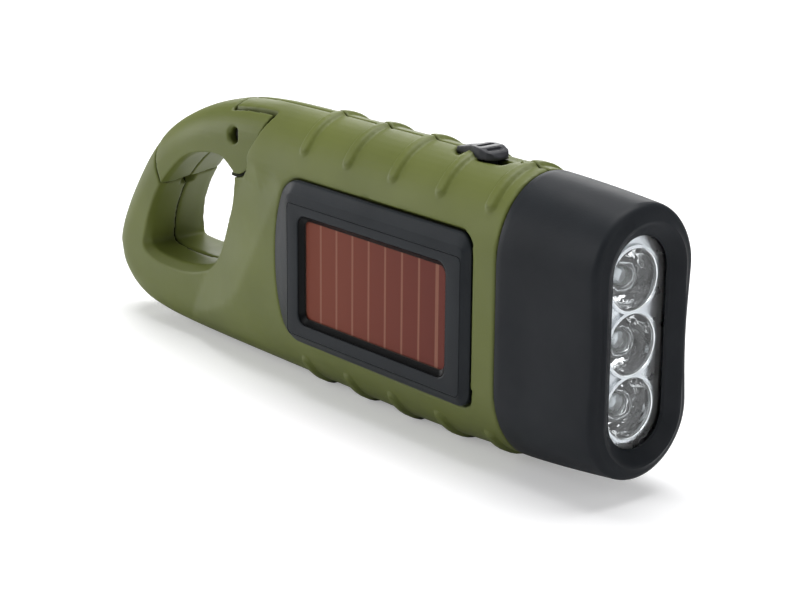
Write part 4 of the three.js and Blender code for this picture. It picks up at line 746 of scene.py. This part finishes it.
def make_seam_lip():
    """A thin curved lip on the casing that closes the view through the seam under the gate's tail, in a
    darker olive that paints the seam's shade.
    """
    inner, outer, y = TAIL_RADIUS - SEAM_LIP_SUNK, TAIL_RADIUS + SEAM_LIP_WALL, SEAM_LIP_HALF
    rings = []
    for i in range(SEAM_LIP_STEPS + 1):
        a = math.radians(SEAM_LIP_START + SEAM_LIP_SWEEP * i / SEAM_LIP_STEPS)
        section = [(inner, -y), (inner, y), (outer, y), (outer, -y)]
        rings.append([(PIVOT[0] + r * math.cos(a), side, PIVOT[1] + r * math.sin(a)) for r, side in section])
    placed(object_from(lofted(rings), "seam_lip"), "casing", "olive_plastic", seam_shade_olive)


# Lamp head, cover, cups and lamps
def head_outline(x, inset=0.0, waisted=False):
    """The head's section at a place along it, inset from its outer face."""
    share = (x - NECK) / HEAD_LENGTH
    return dict(top=TOP - HEAD_TOP_FALL * share**HEAD_TOP_CURVE - inset,
                low=-NECK_BOTTOM + HEAD_LOW_RISE * share**HEAD_LOW_CURVE + inset,
                half=FRONT_HALF + HEAD_PROUD * (1 - share) - HEAD_NARROW * share**2 - inset,
                turn=SECTION_ROUND + (HEAD_FRONT_ROUND - SECTION_ROUND) * share - inset,
                waist=HEAD_WAIST * eased(share, 0, HEAD_WAIST_START_SHARE) if waisted else 0)


def lens_outline(grow):
    """The lens opening's outline, grown outwards."""
    half = LENS_HALF + grow
    return dict(top=LENS_TOP + grow, low=LENS_BOTTOM - grow, half=half, turn=half, waist=0)


def head_ring(x, top, low, half, turn, waist, steps=18, flank=26):
    """A ring of tall round-ended section, which a waist draws in at mid height."""
    angles = [i * math.pi / 2 / steps for i in range(steps + 1)]
    spots = [(half * math.sin(a), top - turn * (1 - math.cos(a))) for a in angles]
    spots += [(half, (top - turn) + (low - top + 2 * turn) * i / flank) for i in range(1, flank)]
    spots += [(half * math.sin(a), low + turn * (1 - math.cos(a))) for a in angles[::-1]]
    side = []
    for y, z in spots:
        off = min(abs(z - HEAD_WAIST_Z) / HEAD_WAIST_REACH, 1)
        side.append((x, -max(y - waist * (1 - off**2) ** 2, 0), z))
    return side + [(x, -y, z) for x, y, z in side[-2:0:-1]]


def make_head():
    def outer(x, inset=0.0):
        return head_ring(x, **head_outline(x, inset, waisted=True))

    def inner(x):
        return head_ring(x, **head_outline(x, HEAD_WALL))

    lengths, turns = 14, 8
    straight = HEAD_LENGTH - FACE_FALL - RIM_ROUND
    cut = 0.3 * HEAD_EDGE
    rings = [outer(NECK, HEAD_EDGE), outer(NECK + cut, cut), outer(NECK + HEAD_EDGE)]
    rings += [outer(NECK + straight * i / lengths) for i in range(1, lengths + 1)]
    for a in (i * math.pi / 2 / turns for i in range(1, turns + 1)):
        rings.append(outer(FRONT - FACE_FALL - RIM_ROUND * (1 - math.sin(a)), RIM_ROUND * (1 - math.cos(a))))
    face_inner = FRONT_HALF - FACE_BAND - LENS_HALF
    rings += [head_ring(FRONT - back, **lens_outline(face_inner + out)) for out, back in FACE_EDGE]
    lip = FRONT - FACE_FUNNEL - FACE_LIP
    rings += [head_ring(lip + FACE_LIP + FUNNEL_EDGE, **lens_outline(FUNNEL_LEAN + FUNNEL_EDGE_LEAN)),
              head_ring(lip + FACE_LIP, **lens_outline(FUNNEL_LEAN)), head_ring(lip, **lens_outline(0)),
              inner(lip), inner((lip + NECK) / 2), inner(NECK)]
    head = object_from(lofted(rings, closed=True), "lamp_head")
    placed(head, "casing", "charcoal_plastic", charcoal, "head_shell", crease=32)


def fitted_ring(x, inset=0.0):
    """A ring that fits inside the head's wall with a gap."""
    return head_ring(x, **head_outline(x, HEAD_WALL + GAP + inset))


def make_cover():
    rings = [fitted_ring(LENS_BACK, COVER_EDGE), fitted_ring(LENS_BACK + COVER_EDGE),
             fitted_ring(LENS_FRONT - COVER_EDGE), fitted_ring(LENS_FRONT, COVER_EDGE)]
    cover = object_from(lofted(rings), "clear_cover")
    placed(cover, "casing", "clear_plastic", cover_clear, "lens_cover", crease=30)


def disc(radius, x0, x1, z, name):
    """A round slab on the lamp's line, from x0 to x1."""
    profile = [(0, 0), (radius, 0), (radius, x1 - x0), (0, x1 - x0)]
    return object_from(turned(profile, ALONG, (x0, 0, z), 72), name)


def three_discs(radius, x0, x1, name):
    """Slabs in line with the three cups, run together."""
    first, *others = CUP_PLACES.values()
    made = disc(radius, x0, x1, first, name)
    for z in others:
        made = combined(made, disc(radius, x0, x1, z, "part"), "UNION")
    return made


def cup_radius(height):
    """The cup's inner radius at a height over its floor."""
    return CUP_FLOOR + (CUP_RADIUS - CUP_FLOOR) * math.sqrt(height / CUP_DEPTH)


def make_reflector():
    plate = lofted([fitted_ring(PLATE_BACK), fitted_ring(PLATE_FRONT - RIDGE_HEIGHT + RIDGE_LAP)])
    plate = object_from(plate, "reflector_plate")
    back, front = PLATE_BACK - CUTTER_OVERRUN, PLATE_FRONT + CUTTER_OVERRUN
    for z in CUP_PLACES.values():
        plate = combined(plate, disc(CUP_RADIUS + CUP_ROOM, back, front, z, "hole"))
    placed(plate, "casing", "mirror_plastic", plated_plate, "reflector", crease=30)

    ridge = three_discs(CUP_RADIUS + RIDGE_OUTSIDE, PLATE_FRONT - RIDGE_HEIGHT, PLATE_FRONT, "cup_ridge")
    ridge = combined(ridge, three_discs(CUP_RADIUS + RIDGE_INSIDE, back, front, "inside"))
    placed(ridge, "casing", "mirror_plastic", plated_plate, crease=30)

    heights = [CUP_DEPTH * i / CUP_STEPS for i in range(CUP_STEPS + 1)]
    inner = [(cup_radius(h), h) for h in heights]
    lip = [(CUP_RADIUS + out, CUP_DEPTH + up) for out, up in CUP_LIP]
    outer = [(r + CUP_WALL, h) for r, h in inner[-6::-1]]
    for name, z in CUP_PLACES.items():
        cup = turned([*inner, *lip, *outer, inner[0]], ALONG, (CUP_BACK, 0, z), 96)
        placed(object_from(cup, f"cup_{name}"), "casing", "mirror_plastic", plated_cup, crease=30)


def make_cup_glass():
    """A clear insert in each cup, hollow round the lamp and domed in front."""
    steps, turns = 12, 8
    tall = CUP_DEPTH - GLASS_START - GLASS_SHOULDER
    heights = [GLASS_START + tall * i / steps for i in range(steps + 1)]
    wall = [(cup_radius(h) - GLASS_GAP, h) for h in heights]
    angles = [i * math.pi / 2 / turns for i in range(turns - 1, 0, -1)]
    face = [(wall[-1][0] * math.sin(a), CUP_DEPTH - GLASS_DOME * (1 - math.cos(a))) for a in angles]
    for name, z in CUP_PLACES.items():
        insert = turned([*GLASS_HOLLOW, *wall, *face, (0, CUP_DEPTH)], ALONG, (CUP_BACK, 0, z), 72)
        placed(object_from(insert, f"cup_glass_{name}"), "casing", "clear_plastic", cup_glass)


def make_lamps():
    turns = 8
    angles = [i * math.pi / 2 / turns for i in range(turns)]
    dome = [(LAMP_RADIUS * math.cos(a), LAMP_LENGTH - LAMP_RADIUS * (1 - math.sin(a))) for a in angles]
    for name, z in CUP_PLACES.items():
        lamp = turned([*LAMP_FLANGE, *dome, (0, LAMP_LENGTH)], ALONG, (LED_BASE, 0, z), 48)
        placed(object_from(lamp, f"lamp_{name}"), "casing", "led_resin", led_resin, f"led_{name}", crease=30)
        seat = turned(LAMP_SEAT, ALONG, (LED_BASE, 0, z), 32)
        placed(object_from(seat, f"lamp_seat_{name}"), "casing", "mirror_plastic", plated_plate, crease=30)


# Solar frame
def frame_ring(sides, radius, y, bulge=0.0, steps=8, side=16):
    """A ring between four sides with rounded corners; y may hang on x, and the rear side may bulge."""
    rear, front, top, low = sides
    corners = ((front - radius, top - radius), (rear + radius, top - radius), (rear + radius, low + radius),
               (front - radius, low + radius))
    spots = []
    for turn, (x, z) in enumerate(corners):
        spots += [(x + radius * math.cos(t), z + radius * math.sin(t))
                  for t in ((turn + i / steps) * math.pi / 2 for i in range(steps + 1))]
        away = (turn + 1) % 4
        goal = (corners[away][0] + radius * math.cos(away * math.pi / 2),
                corners[away][1] + radius * math.sin(away * math.pi / 2))
        start = spots[-1]
        spots += [tuple(np.interp(i / side, (0, 1), pair) for pair in zip(start, goal))
                  for i in range(1, side)]
    middle, half = (top + low) / 2, (top - low) / 2
    ring = []
    for x, z in spots:
        out = 1 - abs((z - middle) / half) ** BEZEL_BULGE_CURVE if x < (rear + front) / 2 else 0
        ring.append((x - bulge * out, y(x) if callable(y) else y, z))
    return ring


def window_ring(inset, y):
    """A ring inset from the cell window's mouth."""
    radius = max(WINDOW_ROUND - inset * WINDOW_ROUND_SHARE, WINDOW_LEAST_ROUND)
    return frame_ring(WINDOW_SIDES + inset * INWARD, radius, y)


def make_bezel():
    def shoulder(down):
        rear, front = BEZEL_SIDES[0] - BEZEL_BULGE, BEZEL_SIDES[1]
        return lambda x: BEZEL_FACE + mapped(x, rear, front, BEZEL_REAR_DROP, BEZEL_FRONT_DROP) + down

    def outer(inset, y):
        radius = max(BEZEL_ROUND - inset, BEZEL_LEAST_ROUND)
        return frame_ring(BEZEL_SIDES + inset * INWARD, radius, y, BEZEL_BULGE)

    def crease(insets, more, down, radius=BEZEL_STEP_ROUND):
        return frame_ring(BEZEL_SIDES + insets + more * INWARD, radius, BEZEL_FACE + down)

    rings = [outer(BEZEL_EDGE, BEZEL_BACK), outer(0, BEZEL_BACK - BEZEL_EDGE)]
    rings += [outer(inset, shoulder(down)) for inset, down in BEZEL_SHOULDER]
    rings += [crease(BEZEL_CREASES, *step) for step in BEZEL_CREASE_LINE]
    rings += [crease(BEZEL_STEP, *step) for step in BEZEL_STEP_LINE]
    rings += [window_ring(inset, BEZEL_FACE + down) for inset, down in WINDOW_MOUTH]
    rings.append(window_ring(WINDOW_UNDERCUT, BEZEL_BACK))
    bezel = object_from(lofted(rings, closed=True), "solar_frame")
    placed(bezel, "casing", "charcoal_plastic", frame_black, "solar_bezel", crease=28)


def make_window_shade_sheet():
    """A black ring on the window's sloping wall, which ends just over the cell: painted shade for the
    window's recess.
    """
    rings = [window_ring(inset, BEZEL_FACE + down) for inset, down in SHADE_SHEET_LINE]
    shading_sheet = object_from(lofted(rings, closed=True), "window_shade_sheet")
    placed(shading_sheet, "casing", "black_plastic", window_shade_black, crease=50)


# Switch knob, crank and its knob
def make_switch():
    knob = moulded("switch_slider", "switch_knob", KNOB_VOXEL, easing=5, parted=False)
    knob.data.transform(Matrix.Translation((SWITCH_BACK, 0, 0)))
    placed(knob, "switch", "charcoal_plastic", knob_black, "switch_slider", crease=70)


def make_crank():
    arm = moulded("crank_arm", "crank_arm_moulded", ARM_VOXEL, easing=3, parted=False)
    placed(arm, "crank", "charcoal_plastic", charcoal, "crank_arm", crease=60)


def make_grip():
    """The crank knob's turning sleeve: round-edged, waisted and finely grooved round."""
    turns = 6
    edges = [(GRIP_FLAT + GRIP_EDGE * math.sin(a), GRIP_EDGE * (1 - math.cos(a)))
             for a in (i * math.pi / 2 / turns for i in range(turns + 1))]
    ends = [(r, GRIP_LENGTH - h) for r, h in edges[::-1]]
    straight = GRIP_LENGTH - 2 * GRIP_EDGE
    waist = []
    for k in range(2, GRIP_STEPS - 1):
        share = k / GRIP_STEPS
        groove = GRIP_GROOVE if k % 4 == 3 else 0
        radius = GRIP_FLAT + GRIP_EDGE - GRIP_WAIST * math.sin(share * math.pi) ** 0.8 - groove
        waist.append((radius, GRIP_EDGE + straight * share))
    profile = [(GRIP_BORE, 0), *edges, *waist, *ends, (GRIP_BORE, GRIP_LENGTH), (GRIP_BORE, 0)]
    sleeve = object_from(turned(profile, ALONG, (FOLD_X + GRIP_START, FOLD_Y, CRANK_Z), 64), "knob_grip")
    placed(sleeve, "knob_turn", "charcoal_plastic", charcoal, "knob_sleeve", crease=50)


def make_pins():
    gate_axis = (PIVOT[0], 0, PIVOT[1])
    pin = rod(GATE_PIN_RADIUS, -GATE_PIN_HALF, GATE_PIN_HALF, ACROSS, gate_axis, GATE_PIN_EDGE)
    placed(object_from(pin, "gate_pivot_pin"), "casing", "steel", blacked, "gate_pin", crease=30)
    fold = rod(FOLD_PIN_RADIUS, -FOLD_PIN_HALF, FOLD_PIN_HALF, UPRIGHT, FOLD_PLACE)
    placed(object_from(fold, "fold_pin"), "crank", "steel", steel, "knob_fold_pin", crease=30)
    lug = tube(LUG_BORE, LUG_RADIUS, -LUG_HALF, LUG_HALF, UPRIGHT, FOLD_PLACE)
    bar = turned(BAR_PROFILE, ALONG, FOLD_PLACE, 40)
    placed(joined("knob_bar", lug, bar), "knob_fold", "steel", steel, "knob_spindle", crease=30)


def make_spring():
    """The gate's coil spring, held at its upper end."""
    low, high = (Vector(corner) / MM - OWN_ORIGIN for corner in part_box("gate_spring"))
    centre, wire, turns, steps, sides = (low + high) / 2, SPRING_WIRE, SPRING_TURNS, 24, 10
    rings = []
    for i in range(turns * steps + 1):
        a = 2 * math.pi * i / steps
        out = Vector((math.cos(a), math.sin(a), 0))
        middle = Vector((centre.x, centre.y, mapped(i, 0, turns * steps, low.z + wire, high.z - wire)))
        rings.append([middle + out * (SPRING_RADIUS + wire * math.cos(t)) + Vector((0, 0, wire * math.sin(t)))
                      for t in (2 * math.pi * k / sides for k in range(sides))])
    coil = placed(object_from(lofted(rings), "gate_coil"), "casing", "steel", steel, "gate_spring")
    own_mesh(coil)


# Screws
def screw(name, node, body, at, radius, head, height, seat, tip, axis, cross, wide):
    """A cross-head screw; seat and tip are places along its axis, and the head stands beyond the seat."""
    top = seat + height
    rim, crown, taper = 0.15, 0.55, 0.4
    profile = [(0, tip), (radius - taper / 2, tip), (radius, tip + taper), (radius, seat), (head - rim, seat),
               (head, seat + rim), (head, top - crown), (head - TURNED_EDGE, top - TURNED_EDGE),
               (head - crown, top), (0, top)]
    made = object_from(turned(profile, axis, at, 40), name)
    middle = Vector(at) + Vector(axis) * (top - SLOT_DEPTH + SLOT_CUTTER / 2)
    along = axis.index(1)
    flat = [k for k in range(3) if k != along]
    for long, short in (flat, flat[::-1]):
        size = [0, 0, 0]
        size[long], size[short], size[along] = 2 * cross, wide, SLOT_CUTTER
        made = combined(made, object_from(block(size, middle), "slot"))
    placed(made, body, "steel", zinc, node, crease=30)


def make_screws():
    for i, (x, z) in enumerate(SHELL_SCREWS, 1):
        screw(f"shell_screw_{i}", f"case_screw_{i}", "casing", (x, 0, z), **HALF_SCREW)
    screw("gate_half_screw", "gate_screw", "gate", (GATE_SCREW[0], 0, GATE_SCREW[1]), **HALF_SCREW)
    seat = CRANK_FACE - CRANK_SINK - GAP
    screw("hub_screw", "crank_screw", "crank", (CRANK_X, 0, CRANK_Z), seat=seat, tip=seat - HUB_SCREW_LENGTH,
          **HUB_SCREW)
    seat = FOLD_X + GRIP_END + GAP
    screw("knob_end_screw", "knob_screw", "knob_fold", (0, FOLD_Y, CRANK_Z), seat=seat,
          tip=seat - KNOB_SCREW_LENGTH, **KNOB_SCREW)


# The rest keep their solids and get their finish
def finish_inner_parts():
    """Gives every solid a finish; those that aren't named here are steel."""
    finishes = {
        board: ("main_board", "led_board"),
        lever_black: ("switch_lever",),
        ivory: ("drive_gear", "first_idler_gear", "second_idler_gear"),
        brass: ("rotor_pinion", "crank_bushing", "battery_contact_rear", "battery_contact_front"),
        ferrite: ("rotor_magnet",),
        copper: ("stator_coil",),
        cell_finish(): ("solar_cell",),
    }
    by_node = {node: finish for finish, nodes in finishes.items() for node in nodes}
    for name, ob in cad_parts.items():
        ob.data.materials.clear()
        ob.data.materials.append(by_node.get(name, steel))


# Floor, lamps and camera, with lengths in metres
PAPER, PAPER_GLOW, ROOM_LEVEL = (0.86, 0.86, 0.87, 1), 0.3, 0.17
SOFTBOXES = {
    "top_softbox": ((-0.1, 0.15, 0.8), (0, 0, 0.02), (0.8, 0.5), 7.5),
    "side_softbox": ((-0.35, -0.75, 0.45), (0, 0, 0.02), (0.6, 0.5), 2.2),
    "front_softbox": ((0.75, 0.0, 0.35), (0.05, 0, 0.02), (0.4, 0.5), 0.95),
    "back_softbox": ((-0.75, 0.7, 0.38), (0, 0, 0.04), (0.7, 0.35), 3),
    "left_softbox": ((-0.9, -0.35, 0.16), (-0.04, 0, 0.03), (0.5, 0.3), 1.6),
}
CAMERA_PLACE, CAMERA_AIM = Vector((0.2915, -0.23445, 0.1255)), Vector((0.0247, -0.01525, 0.0234))
CAMERA_LENS, CAMERA_ROLL = 100.9, math.radians(0.5)


def seen_straight(nodes, links):
    """One where the camera looks straight at a surface, or through a clear piece."""
    path = nodes.new("ShaderNodeLightPath")
    most = nodes.new("ShaderNodeMath")
    most.operation = "MAXIMUM"
    links.new(path.outputs["Is Camera Ray"], most.inputs[0])
    links.new(path.outputs["Is Transmission Ray"], most.inputs[1])
    return most.outputs[0]


def make_floor():
    bm = bmesh.new()
    bmesh.ops.create_grid(bm, x_segments=2, y_segments=2, size=4)
    floor = object_from(bm, "floor")
    paper = bpy.data.materials.new("white_paper")
    paper.use_nodes = True
    nodes, links = paper.node_tree.nodes, paper.node_tree.links
    shader = nodes["Principled BSDF"]
    shader.inputs["Base Color"].default_value = PAPER
    shader.inputs["Roughness"].default_value = 0.8
    shader.inputs["Specular IOR Level"].default_value = 0
    shader.inputs["Emission Color"].default_value = (1, 1, 1, 1)
    glow = nodes.new("ShaderNodeMath")
    glow.operation = "MULTIPLY"
    glow.inputs[1].default_value = PAPER_GLOW
    links.new(seen_straight(nodes, links), glow.inputs[0])
    links.new(glow.outputs[0], shader.inputs["Emission Strength"])
    floor.data.materials.append(paper)


def make_room():
    world = bpy.data.worlds.new("studio")
    bpy.context.scene.world = world
    world.use_nodes = True
    nodes, links = world.node_tree.nodes, world.node_tree.links
    room = nodes["Background"]
    room.inputs["Color"].default_value = (1, 1, 1, 1)
    level = nodes.new("ShaderNodeMapRange")
    level.inputs["To Min"].default_value = ROOM_LEVEL
    level.inputs["To Max"].default_value = 1.0
    links.new(seen_straight(nodes, links), level.inputs["Value"])
    links.new(level.outputs["Result"], room.inputs["Strength"])


def facing(place, aim):
    """The turn that points a lamp or a camera from its place to its aim."""
    return (Vector(aim) - Vector(place)).to_track_quat("-Z", "Y")


def hang_softboxes():
    for name, (place, aim, size, power) in SOFTBOXES.items():
        data = bpy.data.lights.new(name, "AREA")
        data.shape, data.size, data.size_y, data.energy = "RECTANGLE", *size, power
        ob = bpy.data.objects.new(name, data)
        ob.location = place
        ob.rotation_euler = facing(place, aim).to_euler()
        bpy.context.scene.collection.objects.link(ob)


def set_camera():
    data = bpy.data.cameras.new("camera")
    data.sensor_width, data.lens = 36, CAMERA_LENS
    data.clip_start, data.clip_end = 0.01, 20
    ob = bpy.data.objects.new("camera", data)
    ob.location = CAMERA_PLACE
    ob.rotation_mode = "QUATERNION"
    ob.rotation_quaternion = facing(CAMERA_PLACE, CAMERA_AIM) @ Quaternion(UPRIGHT, CAMERA_ROLL)
    bpy.context.scene.collection.objects.link(ob)
    bpy.context.scene.camera = ob


finish_inner_parts()
make_shells()
make_seam_lip()
make_head()
make_cover()
make_reflector()
make_cup_glass()
make_lamps()
make_window_shade_sheet()
make_bezel()
make_switch()
make_crank()
make_grip()
make_pins()
make_spring()
make_screws()
make_floor()
make_room()
hang_softboxes()
set_camera()
bpy.context.scene.view_settings.view_transform = "Standard"
